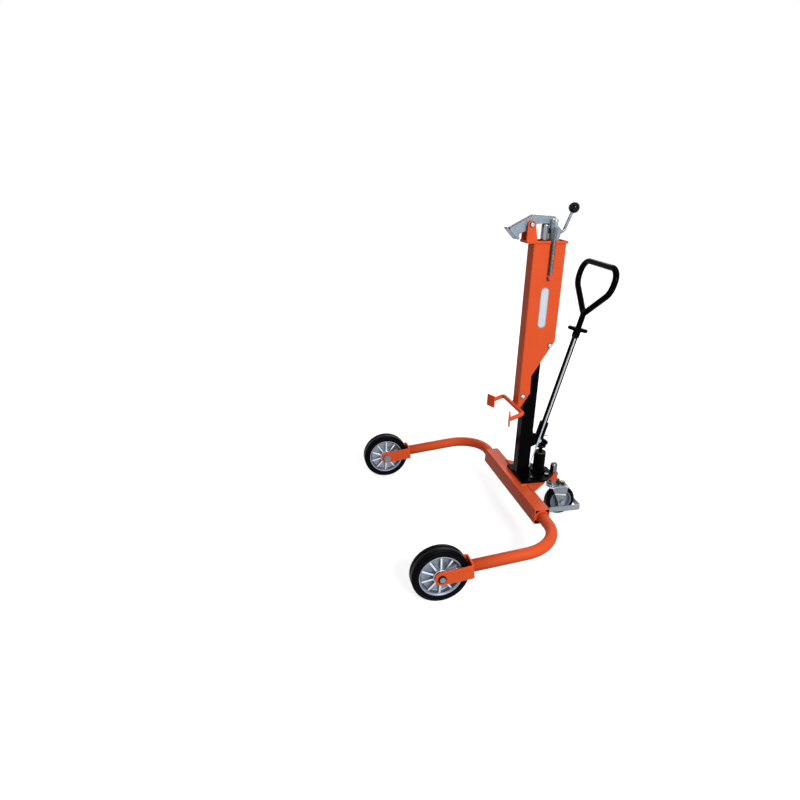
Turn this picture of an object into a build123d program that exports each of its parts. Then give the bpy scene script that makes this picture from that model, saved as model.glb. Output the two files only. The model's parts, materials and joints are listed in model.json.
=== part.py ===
from build123d import *
from math import acos, atan2, cos, degrees, hypot, pi, radians, sin, sqrt, tan
import os

# Drum truck: a low chassis on two big front wheels and one rear caster carries
# a hydraulic mast. A carriage climbs the mast, and its beak hooks over the load's rim.
# Millimetres, +Z up from the floor. The load side is -Y, +X is the truck's left.
# The Y values below are counted from the mast's middle, and the finished model
# is moved in Y so that its box is centred on the origin.

# Clearances
run_gap = 0.05          # shaft in its bore, on the radius
face_gap = 0.3          # faces that slide or swing past each other

# Front wheels
track = 924.0
wheel_y = -471.0
wheel_d = 200.0
tyre_w = 50.0
tyre_h = 24.0
bead = 2.0
rim_wall = 8.0
web_t = 9.0
boss_d = 56.0
boss_w = 56.0
bearing_d = 42.0
bearing_w = 12.0
hub_ribs = 10
rib_t = 7.0
axle_d = 20.0
axle_head_d = 29.0
axle_head_t = 5.0
axle_nut_af = 30.0
axle_nut_t = 12.0
spacer_len = 3.0

# Wheel forks, folded from flat bar
fork_h = 50.0
fork_t = 6.0
fork_bend = 10.0
yoke_back = 107.0

# Cross tube and bent legs
cross_y = -24.0
cross_a = 60.0
cross_t = 4.0
leg_d = 42.4
leg_t = 3.2
leg_bend = 140.0
leg_straight = 52.0
leg_in = 60.0
bush_len = 34.0

# Tongue, base plate and rib
tongue_t = 6.0
tongue_w = 292.0
tongue_lap = 12.0
tongue_tuck = 14.0
tongue_step = 6.0
base_t = 10.0
base_w = 160.0
base_front = -28.0
base_side = 71.0
base_rear = 128.0
base_rear_w = 64.0
neck_over = 3.0
neck_end = 4.0
rib_plate_t = 6.0
rib_plate_h = 24.0
base_bolt_d = 10.0
base_bolts = [(58.0, 26.0), (40.0, 94.0)]

# Caster
swivel_y = 143.7
trail = 42.3
caster_d = 125.0
caster_w = 36.0
caster_tyre_h = 15.5
caster_boss_d = 30.0
caster_axle_d = 12.0
wheel_room = 6.0
fork_side_t = 5.0
fork_top_gap = 3.5
fork_top_t = 5.0
fork_top_fore = 22.0
fork_top_back = 22.0
fork_foot_w = 26.0
fork_eye_d = 24.0
ridge_d = 4.8
ridge_drop = 26.0
ridge_fall = 8.0
ridge_room = 10.0
race_t = 6.0
race_d = 38.0
cup_d = 46.0
cup_t = 5.0
cup_neck = 15.5
stem_d = 20.0
sleeve_d = 38.0
sleeve_len = 32.0
cap_d = 29.0
cap_h = 45.0
lug_w = 24.0
lug_h = 26.0
lug_t = 4.0
lug_nut_af = 19.0
lug_nut_h = 11.0
lug_nut_back = 22.0
guard_h = 24.0
guard_t = 4.0
guard_z = 20.0
guard_fore = 53.0
guard_room = 24.5

# Mast, lifting cylinder and ram
mast_y = -2.0
mast_w = 45.0
mast_d = 52.0
mast_t = 4.0
mast_top = 840.0
barrel_gap = 0.5
barrel_t = 2.5
gland_h = 22.0
gland_over = 5.0
ram_room = 0.5
ram_in = 125.0
ram_edge = 6.0

# Carriage
plate_t = 4.0
fold_r = 2.0
side_gap = 1.5
carriage_front = -55.0
carriage_rear = 68.0
carriage_low = 500.0
carriage_len = 619.0
flange_t = 9.0
flange_lip = 5.0
flange_front = -84.0
flange_rear = 73.0
hatch_front = -41.0
hatch_rear = 65.0
upper_bolt_up = 244.0
upper_bolt_back = 26.0
lower_bolt_up = 45.0
lower_bolt_fore = 10.5
skirt_back = 16.0
skirt_knee = 82.0
skirt_heel = 10.0
skirt_toe = 12.0
screw_d = 10.0
screw_head_d = 17.5
screw_head_h = 5.5

# Slide blocks
block_under = 18.0
block_over = 36.0
upper_under = 20.0
upper_over = 46.0
upper_room = 11.0

# Cradle
cradle_d = 16.0
cradle_half = 100.0
cradle_up = 3.0
cradle_reach = 50.0
cradle_drop = 19.0
cradle_bend = 13.0
pad_h = 48.0
pad_w = 42.0
pad_t = 6.0
load_r = 285.0

# Beak, ears and pins
beak_w = 25.0
pin_y = -69.0
pin_up = 55.0
pin_d = 14.0
ear_room = 5.5
ear_t = 8.0
ear_r = 13.0
tail_back = 83.0
tail_up = 14.0
tail_r = 13.6
tail_d = 10.0
arm_up = 2.0
hook_drop = 53.0
hook_fore = 43.0
beak_fore = 76.0
lip_t = 12.0
lip_rise = 34.0
crown_up = 32.0
crown_back = 9.0

# Latch link, lever and ball
link_room = 3.0
link_t = 5.0
link_len = 95.0
lobe_back = 30.0
lobe_top = 27.0
lobe_low = 55.0
hub_drop = 40.0
hub_d = 22.0
hub_back = 18.0
hub_t = 10.0
hub_under = 7.0
lever_d = 11.0
lever_out = 12.0
lever_bend = 16.0
ball_d = 39.0
ball_back = 81.0
ball_up = 43.0

# Beak spring
spring_d = 14.0
wire_d = 2.6
coil_step = 4.0
lead_top = 21.0
lead_end = 13.0
spring_gap = 0.6
post_drop = 119.0
post_d = 9.0

# Pump handle
pivot_y = 60.0
pivot_up = 143.0
pivot_d = 14.0
lean = 13.8
knuckle_w = 20.0
cheek_t = 6.0
cheek_r = 15.0
cheek_up = 35.0
cheek_down = 24.0
cheek_root = 20.0
socket_d = 36.0
socket_low = 18.0
socket_top = 77.0
shaft_d = 22.0
shaft_t = 2.6
clip_d = 5.0
clip_z = 22.0
clip_out = 20.0
loop_low = 526.0
loop_half = 127.0
loop_side = 105.0
loop_top = 190.0
loop_d = 22.5
loop_low_r = 18.0
loop_side_r = 62.0
loop_top_r = 46.0
nose_back = 30.0
nose_drop = 13.0
nose_r = 10.0

# Release collar and rods
collar_d = 29.0
collar_low = 432.0
collar_len = 40.0
wing_len = 82.0
wing_w = 36.0
wing_t = 14.0
wing_edge = 5.5
collar_edge = 4.0
rod_d = 6.0
ferrule_d = 9.2
ferrule_up = 10.0
ferrule_len = 36.0
rod_nut = 5.0
rod_gap = 1.0
rod_y = -9.9
rod_low = -30.0
valve_rod_d = 4.0
valve_fore = 8.0
valve_d = 14.0
valve_h = 40.0
valve_in = 20.0

# Pump
pump_back = 15.0
pump_d = 47.0
pump_foot_d = 60.0
pump_foot_t = 9.0
pump_h = 91.0
pump_cap_h = 5.0
plunger_d = 16.0
plunger_head_d = 40.0
plunger_head_t = 8.0

# Label plate on the left side of the carriage, left bare
label_len = 150.0
label_w = 32.0
label_t = 0.8
label_y = 6.0
label_drop = 231.0


# Sizes that follow from those above
wheel_r = wheel_d / 2
rim_d = wheel_d - 2 * tyre_h
rim_w = tyre_w - 2 * bead
fork_gap = boss_w + 2 * spacer_len
cross_len = track - 2 * (leg_bend + leg_straight)
caster_r = caster_d / 2
caster_y = swivel_y + trail
caster_rim_d = caster_d - 2 * caster_tyre_h
fork_in = caster_w / 2 + wheel_room
fork_top_z = caster_d + fork_top_gap
race_z = fork_top_z + fork_top_t
cup_z = race_z + race_t
sleeve_low = cup_z + cup_t + cup_neck
tongue_top = sleeve_low + sleeve_len
cross_top = tongue_top - tongue_t
cross_z = cross_top - cross_a / 2
cross_back = cross_y + cross_a / 2
base_top = tongue_top + base_t
guard_half = fork_in + fork_side_t
guard_front = caster_y - guard_fore
guard_rear = caster_y + caster_r + guard_room
leg_run = cross_y - wheel_y
leg_drop = cross_z - wheel_r
leg_len = hypot(leg_run, leg_drop)
leg_tilt = degrees(atan2(leg_drop, leg_run))
mast_front = mast_y - mast_d / 2
mast_back = mast_y + mast_d / 2
barrel_d = min(mast_w, mast_d) - 2 * (mast_t + barrel_gap)
barrel_top = mast_top + gland_over
ram_d = barrel_d - 2 * (barrel_t + ram_room)
ram_y = mast_front + mast_t + face_gap + barrel_d / 2
carriage_in = mast_w / 2 + side_gap
carriage_out = carriage_in + plate_t
carriage_top = carriage_low + carriage_len
upper_bolt = (mast_back + upper_bolt_back, carriage_low + upper_bolt_up)
lower_bolt = (mast_front - lower_bolt_fore, carriage_low + lower_bolt_up)
cradle_z = carriage_low + cradle_up
flange_top = carriage_top + flange_t
flange_half = carriage_out + flange_lip
pin_z = flange_top + pin_up
ear_in = beak_w / 2 + ear_room
ear_out = ear_in + ear_t
tail_y = pin_y + tail_back
tail_z = pin_z + tail_up
arm_low = pin_z + arm_up
link_in = beak_w / 2 + link_room
link_out = link_in + link_t
hub_z = tail_z - hub_drop
ball_y = tail_y + ball_back
ball_z = tail_z + ball_up
post_y = tail_y
post_z = carriage_top - post_drop
coil_low = post_z + lead_end
coil_high = tail_z - lead_top
coils = round((coil_high - coil_low) / coil_step)
spring_x = flange_half + spring_d / 2 + spring_gap
label_z = carriage_top - label_drop
pivot_z = base_top + pivot_up
cheek_in = knuckle_w / 2 + face_gap
cheek_out = cheek_in + cheek_t
rod_x = cheek_out + rod_gap + ferrule_d / 2
collar_top = collar_low + collar_len
nose_y = pivot_y + nose_back
nose_z = pivot_z - nose_drop
valve_x = mast_w / 2 + valve_d / 2 + 2 * face_gap
valve_y = mast_back - valve_fore
valve_top = base_top + valve_h
pump_y = pivot_y + pump_back
pump_top = base_top + pump_h
plunger_top = nose_z - nose_r - face_gap
y_mid = (wheel_y - wheel_r + guard_rear) / 2


def vec(p):
    return Vector(*p)


def corners(pts, dim, closed):
    """Straight runs through the points, with a tangent arc at each point that has a radius."""
    n = len(pts)
    stops = []
    for i in range(n):
        p = vec(pts[i][:dim])
        r = pts[i][dim] if len(pts[i]) > dim else 0
        inner = closed or 0 < i < n - 1
        if not r or not inner:
            stops.append((p, None, p))
            continue
        a = (vec(pts[i - 1][:dim]) - p).normalized()
        b = (vec(pts[(i + 1) % n][:dim]) - p).normalized()
        half = acos(max(-1.0, min(1.0, a.dot(b)))) / 2
        mid = (a + b).normalized()
        stops.append((p + a * (r / tan(half)), p + mid * (r / sin(half) - r), p + b * (r / tan(half))))
    edges = []
    for i in range(n):
        start, mid, end = stops[i]
        if mid is not None:
            edges.append(ThreePointArc(start, mid, end))
        if closed or i < n - 1:
            nxt = stops[(i + 1) % n][0]
            if (nxt - end).length > 1e-5:
                edges.append(Line(end, nxt))
    return edges


def outline(*pts):
    """Closed flat face through (u, v) or (u, v, radius) corners."""
    return make_face(corners(pts, 2, True))


def rail(*pts):
    """Open path through (x, y, z) or (x, y, z, radius) points."""
    return Wire(corners(pts, 3, False))


def prism(face, x0, x1):
    """Face drawn in Y and Z, run from x0 to x1."""
    return extrude(Plane.YZ.offset(x0) * face, amount=x1 - x0)


def slab(face, z0, z1):
    """Face drawn in X and Y, run from z0 to z1."""
    return extrude(Plane.XY.offset(z0) * face, amount=z1 - z0)


def block(x0, x1, y0, y1, z0, z1):
    return Pos((x0 + x1) / 2, (y0 + y1) / 2, (z0 + z1) / 2) * Box(x1 - x0, y1 - y0, z1 - z0)


def rod(p, q, r, bore=0.0):
    """Round bar from p to q, hollow if it has a bore radius."""
    a, b = vec(p), vec(q)
    face = Circle(r) - Circle(bore) if bore else Circle(r)
    return extrude(Plane(origin=a, z_dir=b - a) * face, amount=(b - a).length)


def x_rod(x0, x1, y, z, r, bore=0.0):
    return rod((x0, y, z), (x1, y, z), r, bore)


def z_rod(z0, z1, x, y, r, bore=0.0):
    return rod((x, y, z0), (x, y, z1), r, bore)


def pipe(path, r, bore=0.0):
    """Tube swept along a path of straight runs and arcs."""
    end = Plane(origin=path @ 0, z_dir=path % 0)
    solid = sweep(end * Circle(r), path=path)
    if bore:
        solid -= sweep(end * Circle(bore), path=path)
    return solid


def turned_x(face, x, y, z):
    """Face drawn as (x, radius), turned about the X line through y, z."""
    return Pos(x, y, z) * revolve(face, axis=Axis.X)


def turned_z(face, x, y, z):
    """Face drawn as (radius, z), turned about the Z line through x, y."""
    return Pos(x, y, z) * revolve(Plane.XZ * face, axis=Axis.Z)


def hexagon(af):
    return RegularPolygon(af / 2, 6, major_radius=False)


def mirrored(shape):
    return mirror(shape, about=Plane.YZ)


def both(shape):
    """The piece and its mirror image on the other side of the truck."""
    return Compound([shape, mirrored(shape)])


nodes = {}


# Front wheels: tyre, cast hub with radial ribs on both faces, and two bearings
def tyre(width, r_out, r_in, seat_w):
    w, s = width / 2, seat_w / 2
    deep = r_out - r_in
    groove = 2.2
    half = [
        (s, r_in), (w, r_in + 0.3 * deep, 3), (w, r_out - 0.3 * deep, 3), (w - 2.2, r_out - 0.16 * deep),
        (w - 2.2 - groove, r_out - 0.2 * deep), (w - 2.6 - groove, r_out - 0.03 * deep, 1.2),
        (w - 7 - groove, r_out, 8),
    ]
    return outline(*half, *[(-p[0], *p[1:]) for p in reversed(half)])


def front_hub():
    rim_r = rim_d / 2
    rim_in = rim_r - rim_wall
    boss_r = boss_d / 2
    ring = turned_x(outline(
        (-rim_w / 2, rim_r), (rim_w / 2, rim_r), (rim_w / 2, rim_r - 4), (rim_w / 2 - 5, rim_in, 2),
        (web_t / 2, rim_in - 3, 3), (web_t / 2, boss_r), (boss_w / 2, boss_r, 2),
        (boss_w / 2, axle_d / 2 + 2), (-boss_w / 2, axle_d / 2 + 2), (-boss_w / 2, boss_r, 2),
        (-web_t / 2, boss_r), (-web_t / 2, rim_in - 3, 3),
        (5 - rim_w / 2, rim_in, 2), (-rim_w / 2, rim_r - 4)), 0, 0, 0)
    fin = outline(
        (boss_r - 2, 0), (rim_in + 1, 0), (rim_in + 1, rim_w / 2 - 8), (boss_r - 2, boss_w / 2 - 7))
    # the fin is drawn as (radius, x), with the radius along Y
    one = extrude(Plane(origin=(0, 0, rib_t / 2), x_dir=(0, 1, 0), z_dir=(0, 0, -1)) * fin, amount=rib_t)
    pair = one + mirrored(one)
    for i in range(hub_ribs):
        ring += Rot(X=360 / hub_ribs * (i + 0.5)) * pair
    for side in (1, -1):
        ring -= x_rod(side * (boss_w / 2 - bearing_w), side * (boss_w / 2 + 1), 0, 0, bearing_d / 2)
    return ring


hub = front_hub()
for side, sx in (("left", 1), ("right", -1)):
    at = Pos(sx * track / 2, wheel_y, wheel_r)
    nodes["tyre_" + side] = at * turned_x(tyre(tyre_w, wheel_r, rim_d / 2, rim_w), 0, 0, 0)
    nodes["hub_" + side] = at * hub
    ring = x_rod(boss_w / 2 - bearing_w, boss_w / 2, 0, 0, bearing_d / 2, axle_d / 2 + run_gap)
    nodes["bearings_" + side] = at * both(ring)

# Wheel forks: flat bar folded to a U round the wheel, round-ended at the axle
arm_in = fork_gap / 2
arm_out = arm_in + fork_t
bar = outline(
    (-arm_out, -fork_h / 2), (-arm_in, -fork_h / 2), (-arm_in, yoke_back, fork_bend - fork_t),
    (arm_in, yoke_back, fork_bend - fork_t), (arm_in, -fork_h / 2), (arm_out, -fork_h / 2),
    (arm_out, yoke_back + fork_t, fork_bend), (-arm_out, yoke_back + fork_t, fork_bend))
fork_side = outline(
    (-fork_h / 2, -fork_h / 2, fork_h / 2 - 0.01), (yoke_back + fork_t, -fork_h / 2),
    (yoke_back + fork_t, fork_h / 2), (-fork_h / 2, fork_h / 2, fork_h / 2 - 0.01))
fork = slab(bar, -fork_h / 2, fork_h / 2) & prism(fork_side, -arm_out, arm_out)
fork -= x_rod(-arm_out - 1, arm_out + 1, 0, 0, axle_d / 2)
axle_at = Pos(track / 2, wheel_y, wheel_r)
fork = axle_at * Rot(X=leg_tilt) * fork
nodes["fork_left"] = fork
nodes["fork_right"] = mirrored(fork)

# Front axles with a collar outside, spacers by the bearings and a nut inside
axle = x_rod(-arm_out - axle_nut_t - 3, arm_out + axle_head_t + 3, 0, 0, axle_d / 2)
axle += x_rod(arm_out, arm_out + axle_head_t, 0, 0, axle_head_d / 2)
spacer = x_rod(boss_w / 2 + face_gap, arm_in, 0, 0, axle_d / 2 + 3.5, axle_d / 2)
nut = prism(hexagon(axle_nut_af) - Circle(axle_d / 2), -arm_out - axle_nut_t, -arm_out)
set_of = [axle_at * piece for piece in (axle, nut, spacer, mirrored(spacer))]
nodes["front_axles"] = Compound(set_of + [mirrored(piece) for piece in set_of])

# Cross tube, with a round bush in each end that holds the leg
cross_hole = cross_a - 2 * cross_t
cross_face = RectangleRounded(cross_a, cross_a, 5) - RectangleRounded(cross_hole, cross_hole, 3)
nodes["cross_tube"] = Pos(0, cross_y, cross_z) * prism(cross_face, -cross_len / 2, cross_len / 2)
bush_r = cross_a / 2 - cross_t
bush = x_rod(cross_len / 2 - bush_len, cross_len / 2, cross_y, cross_z, bush_r, leg_d / 2)
nodes["leg_bushes"] = both(bush)

# Legs: out of the cross tube, round one wide bend and down to the wheel fork
slope = Vector(0, -leg_run / leg_len, -leg_drop / leg_len)
elbow = Vector(track / 2, cross_y, cross_z)
leg_end = elbow + slope * (leg_len - yoke_back - fork_t)
leg = pipe(rail((cross_len / 2 - leg_in, cross_y, cross_z), (*elbow, leg_bend), tuple(leg_end)),
           leg_d / 2, leg_d / 2 - leg_t)
nodes["leg_left"] = leg
nodes["leg_right"] = mirrored(leg)

# Tongue plate on the cross tube, tapering back to the caster sleeve
lap_y = cross_back - tongue_lap
neck = sleeve_d / 2 + neck_over
tongue_half = [
    (base_w / 2, base_front), (base_w / 2, lap_y), (tongue_w / 2, lap_y), (base_w / 2, base_side),
    (base_w / 2 - tongue_tuck, base_side + tongue_step), (neck, swivel_y - 4, 8), (neck, swivel_y + neck_end)]
tongue_face = outline(*tongue_half, *[(-p[0], *p[1:]) for p in reversed(tongue_half)])
tongue = slab(tongue_face, cross_top, tongue_top)
tongue -= z_rod(cross_top - 1, tongue_top + 1, 0, swivel_y, sleeve_d / 2)
plate_half = [(base_w / 2, base_front, 3), (base_w / 2, base_side, 4), (base_rear_w / 2, base_rear, 4)]
base = slab(outline(*plate_half, *[(-p[0], *p[1:]) for p in reversed(plate_half)]), tongue_top, base_top)
for bx, by in base_bolts:
    for sx in (1, -1):
        hole = z_rod(cross_top - 1, base_top + 1, sx * bx, by, base_bolt_d / 2)
        tongue -= hole
        base -= hole
nodes["base_plate"] = base
rib = block(-rib_plate_t / 2, rib_plate_t / 2, cross_back, swivel_y - sleeve_d / 2 + 2,
            cross_top - rib_plate_h, cross_top)
sleeve = z_rod(sleeve_low, tongue_top, 0, swivel_y, sleeve_d / 2, stem_d / 2)
nodes["caster_sleeve"] = sleeve
nodes["tongue_plate"] = tongue + (rib - z_rod(sleeve_low - 9, tongue_top, 0, swivel_y, sleeve_d / 2))

# Bolts through base plate and tongue, nuts below
bolts, nuts = [], []
bolt_af = 1.6 * base_bolt_d
bolt_h = 0.65 * base_bolt_d
nut_h = 0.8 * base_bolt_d
for bx, by in base_bolts:
    for sx in (1, -1):
        head = slab(hexagon(bolt_af), base_top, base_top + bolt_h)
        shank = slab(Circle(base_bolt_d / 2), cross_top - nut_h - 2, base_top)
        bolts.append(Pos(sx * bx, by) * (head + shank))
        ring = slab(hexagon(bolt_af) - Circle(base_bolt_d / 2), cross_top - nut_h, cross_top)
        nuts.append(Pos(sx * bx, by) * ring)
nodes["base_bolts"] = Compound(bolts + nuts)

# Caster stem, swivel cup and domed cap nut, all fixed to the tongue
king_h = fork_top_gap - 0.8
stem = turned_z(outline(
    (0, fork_top_z - king_h), (12, fork_top_z - king_h), (12, fork_top_z - face_gap),
    (stem_d / 2, fork_top_z - face_gap), (stem_d / 2, tongue_top + cap_h - 15),
    (0, tongue_top + cap_h - 15)), 0, swivel_y, 0)
cup = turned_z(outline(
    (stem_d / 2, cup_z), (cup_d / 2, cup_z, 1.5), (cup_d / 2, cup_z + cup_t, 1.5),
    (sleeve_d / 2 + 1, cup_z + cup_t + 2, 2), (sleeve_d / 2 - 1, sleeve_low), (stem_d / 2, sleeve_low)),
    0, swivel_y, 0)
nodes["caster_stem"] = stem + cup
cap_r = cap_d / 2
cap_face = outline((0, 0), (cap_r, 0), (cap_r, cap_h, cap_r * 0.95), (0, cap_h))
cap = turned_z(cap_face, 0, swivel_y, tongue_top)
nodes["cap_nut"] = cap - stem

# Caster fork, race, guard, lug and nut, which swivel together
top_face = outline(
    (-guard_half, swivel_y - fork_top_fore, 22), (guard_half, swivel_y - fork_top_fore, 22),
    (guard_half, caster_y + fork_top_back, 8), (-guard_half, caster_y + fork_top_back, 8))
fork_top = slab(top_face, fork_top_z, race_z)
fork_top -= z_rod(fork_top_z - 1, race_z + 1, 0, swivel_y, stem_d / 2 + run_gap)
side_face = outline(
    (swivel_y - 6, fork_top_z), (caster_y + fork_top_back - 2, fork_top_z),
    (caster_y + fork_top_back - 5, (fork_top_z + caster_r) / 2, 12),
    (caster_y + fork_foot_w / 2 + 2, caster_r, 20), (caster_y + fork_foot_w / 2, guard_z + 2),
    (caster_y - fork_foot_w / 2, guard_z + 2),
    (caster_y - fork_foot_w / 2 - 4, caster_r, 30))
cheek = prism(side_face, fork_in, guard_half)
cheek += x_rod(guard_half - 1, guard_half + 2, caster_y, caster_r, fork_eye_d / 2)
ridge = rail(
    (guard_half, swivel_y + 6, fork_top_z - ridge_drop),
    (guard_half, caster_y + fork_top_back - ridge_room, fork_top_z - ridge_drop - ridge_fall))
cheek += pipe(ridge, ridge_d / 2)
cheek -= x_rod(fork_in - 1, guard_half + 3, caster_y, caster_r, caster_axle_d / 2)
race = z_rod(race_z, cup_z - face_gap, 0, swivel_y, race_d / 2, stem_d / 2 + run_gap)
nodes["caster_fork"] = fork_top + cheek + mirrored(cheek) + race
loop = outline(
    (-guard_half, guard_front), (-guard_half, guard_rear - guard_t, 5),
    (guard_half, guard_rear - guard_t, 5), (guard_half, guard_front),
    (guard_half + guard_t, guard_front), (guard_half + guard_t, guard_rear, 9),
    (-guard_half - guard_t, guard_rear, 9),
    (-guard_half - guard_t, guard_front))
nodes["caster_guard"] = slab(loop, guard_z, guard_z + guard_h)
lug_y = swivel_y + cup_d / 2 + 4
lug_half = lug_w / 2
lug = outline(
    (-lug_half, race_z), (lug_half, race_z), (lug_half, race_z + lug_h, lug_half - 1),
    (-lug_half, race_z + lug_h, lug_half - 1))
lug_plate = extrude(Plane(origin=(0, lug_y, 0), x_dir=(1, 0, 0), z_dir=(0, -1, 0)) * lug, amount=-lug_t)
lug_nut = slab(hexagon(lug_nut_af), race_z, race_z + lug_nut_h)
nodes["swivel_lug"] = Compound([lug_plate, Pos(0, lug_y + lug_nut_back) * lug_nut])

# Caster wheel on its bolt
hub_w = 2 * fork_in - 2 * face_gap
rim_r = caster_rim_d / 2
nodes["caster_tyre"] = turned_x(outline(
    (-caster_w / 2 + 1, rim_r), (caster_w / 2 - 1, rim_r), (caster_w / 2, caster_r - 8, 4),
    (caster_w / 2 - 5, caster_r, 5), (5 - caster_w / 2, caster_r, 5), (-caster_w / 2, caster_r - 8, 4)),
    0, caster_y, caster_r)
boss_r = caster_boss_d / 2
axle_r = caster_axle_d / 2
nodes["caster_hub"] = turned_x(outline(
    (-caster_w / 2 + 1, rim_r), (caster_w / 2 - 1, rim_r), (caster_w / 2 - 3, rim_r - 6, 2),
    (5, rim_r - 10, 3), (5, boss_r + 2, 3), (hub_w / 2, boss_r), (hub_w / 2, axle_r + run_gap),
    (-hub_w / 2, axle_r + run_gap), (-hub_w / 2, boss_r), (-5, boss_r + 2, 3), (-5, rim_r - 10, 3),
    (3 - caster_w / 2, rim_r - 6, 2)),
    0, caster_y, caster_r)
pin_half = guard_half + 2
caster_axle = x_rod(-pin_half, pin_half, caster_y, caster_r, axle_r)
caster_axle += both(x_rod(pin_half, pin_half + 5, caster_y, caster_r, 9))
nodes["caster_axle"] = caster_axle

# Mast, with the lifting cylinder standing inside it
mast_face = RectangleRounded(mast_w, mast_d, 4)
mast_face -= RectangleRounded(mast_w - 2 * mast_t, mast_d - 2 * mast_t, 1)
nodes["mast"] = Pos(0, mast_y) * slab(mast_face, base_top, mast_top)
barrel_r = barrel_d / 2
bore_r = barrel_r - barrel_t
ram_r = ram_d / 2
nodes["lift_cylinder"] = turned_z(outline(
    (0, base_top), (barrel_r, base_top), (barrel_r, barrel_top, 2), (ram_r + run_gap, barrel_top),
    (ram_r + run_gap, barrel_top - gland_h), (bore_r, barrel_top - gland_h), (bore_r, base_top + 14),
    (0, base_top + 14)), 0, ram_y, 0)

# Beak arm: pivots in the ears, hooks over the rim in front and is pushed up from below by the ram
ram_top = arm_low - face_gap
nodes["ram"] = turned_z(outline(
    (0, barrel_top - ram_in), (ram_r, barrel_top - ram_in), (ram_r, ram_top, ram_edge), (0, ram_top)),
    0, ram_y, 0)
hook_y, hook_z = pin_y - hook_fore, pin_z - hook_drop
tip_y, tip_z = pin_y - beak_fore, pin_z - hook_drop + lip_rise
beak_side = outline(
    (hook_y, hook_z, 2), (hook_y + 8, hook_z + 2, 2), (hook_y + 3, hook_z + 19, 7),
    (pin_y - 12, pin_z - 22, 20), (pin_y + 20, pin_z - 3, 10), (pin_y + 29, arm_low, 8),
    (tail_y, arm_low - 0.01),
    (tail_y + tail_r, tail_z - 4, 5), (tail_y + tail_r, tail_z + tail_r, tail_r - 2),
    (tail_y - 16, tail_z + tail_r + 1, 12), (pin_y + crown_back, pin_z + crown_up, 16),
    (tip_y + 3, tip_z + 7, 5), (tip_y, tip_z, 3), (hook_y - 6, hook_z + 6, 5))
beak = prism(beak_side, -beak_w / 2, beak_w / 2)
beak += x_rod(face_gap - ear_in, ear_in - face_gap, pin_y, pin_z, ear_r)
beak += x_rod(face_gap - link_in, link_in - face_gap, tail_y, tail_z, tail_r - 2)
beak -= x_rod(-ear_in - 1, ear_in + 1, pin_y, pin_z, pin_d / 2 + run_gap)
beak -= x_rod(-ear_in - 1, ear_in + 1, tail_y, tail_z, tail_d / 2)
nose = outline(
    (hook_y - 6, hook_z + 6), (tip_y, tip_z), (tip_y - 8, tip_z + 9), (tip_y - lip_t, tip_z + 5),
    (tip_y - 4, tip_z - 4), (hook_y - 9, hook_z + 1))
nodes["beak"] = beak + prism(nose, -beak_w / 2 - 1, beak_w / 2 + 1)
tail_end = spring_x + spring_d / 2 - 1
tail_bolt = x_rod(-link_out - 6, tail_end, tail_y, tail_z, tail_d / 2)
tail_bolt += x_rod(-link_out - 7, -link_out - face_gap, tail_y, tail_z, 8.5)
tail_bolt += x_rod(link_out + face_gap, link_out + 5, tail_y, tail_z, 9)
tail_bolt += x_rod(tail_end - 3, tail_end, tail_y, tail_z, 7.5)
nodes["tail_bolt"] = tail_bolt

# Latch link: two plates hung on the tail bolt, tied by a block that carries the lever
link_low = tail_z - link_len
link_side = outline(
    (tail_y - 11, tail_z + 8, 9), (tail_y + 14, tail_z + 8, 9), (tail_y + 18, tail_z - 18, 6),
    (tail_y + lobe_back, tail_z - lobe_top, 9), (tail_y + lobe_back, tail_z - lobe_low, 9),
    (tail_y + 22, link_low + 22, 4), (tail_y + 22, link_low, 8), (tail_y, link_low, 8),
    (tail_y - 2, link_low + 31))
link = prism(link_side, link_in, link_out)
link -= x_rod(link_in - 1, link_out + 1, tail_y, tail_z, tail_d / 2 + run_gap)
nodes["link_plates"] = both(link)
hub_y = tail_y + hub_back
hub_end = hub_y + hub_t + 10
hub_block = block(-link_in, link_in, hub_y, hub_y + hub_t, hub_z - hub_under, hub_z + hub_d / 2)
hub_block += rod((0, hub_end - 11, hub_z), (0, hub_end, hub_z), hub_d / 2)
nodes["lever_hub"] = hub_block - rod((0, hub_y + 2, hub_z), (0, hub_end + 1, hub_z), lever_d / 2)
lever_path = rail((0, hub_y + 4, hub_z), (0, hub_end + lever_out, hub_z, lever_bend), (0, ball_y, ball_z))
lever = pipe(lever_path, lever_d / 2)
ball = Pos(0, ball_y, ball_z) * Sphere(ball_d / 2)
nodes["lever"] = lever
nodes["ball_knob"] = ball - lever


# Carriage: channel folded round the mast, open behind, with a flange on top
side_face = outline(
    (carriage_front, carriage_low, 3), (carriage_front, carriage_top), (carriage_rear, carriage_top),
    (carriage_rear, upper_bolt[1] + skirt_back, 6), (mast_front + 16, lower_bolt[1] + skirt_knee, 4),
    (mast_front + 18, lower_bolt[1] + skirt_heel, 4), (carriage_front + skirt_toe, carriage_low, 3))
front_in = carriage_front + plate_t
channel = outline(
    (-carriage_out, carriage_front, fold_r + plate_t), (carriage_out, carriage_front, fold_r + plate_t),
    (carriage_out, carriage_rear), (carriage_in, carriage_rear), (carriage_in, front_in, fold_r),
    (-carriage_in, front_in, fold_r),
    (-carriage_in, carriage_rear), (-carriage_out, carriage_rear))
shell = slab(channel, carriage_low, carriage_top) & prism(side_face, -carriage_out - 1, carriage_out + 1)
for by, bz in (upper_bolt, lower_bolt):
    shell -= x_rod(-carriage_out - 1, carriage_out + 1, by, bz, screw_d / 2)
shell -= x_rod(carriage_in - 1, carriage_out + 1, post_y, post_z, post_d / 2 - 1.5)
nodes["carriage_shell"] = shell
flange = block(-flange_half, flange_half, flange_front, flange_rear, carriage_top, flange_top)
flange -= block(-carriage_in, carriage_in, hatch_front, hatch_rear, carriage_top - 1, flange_top + 1)
nodes["top_flange"] = flange
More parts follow.
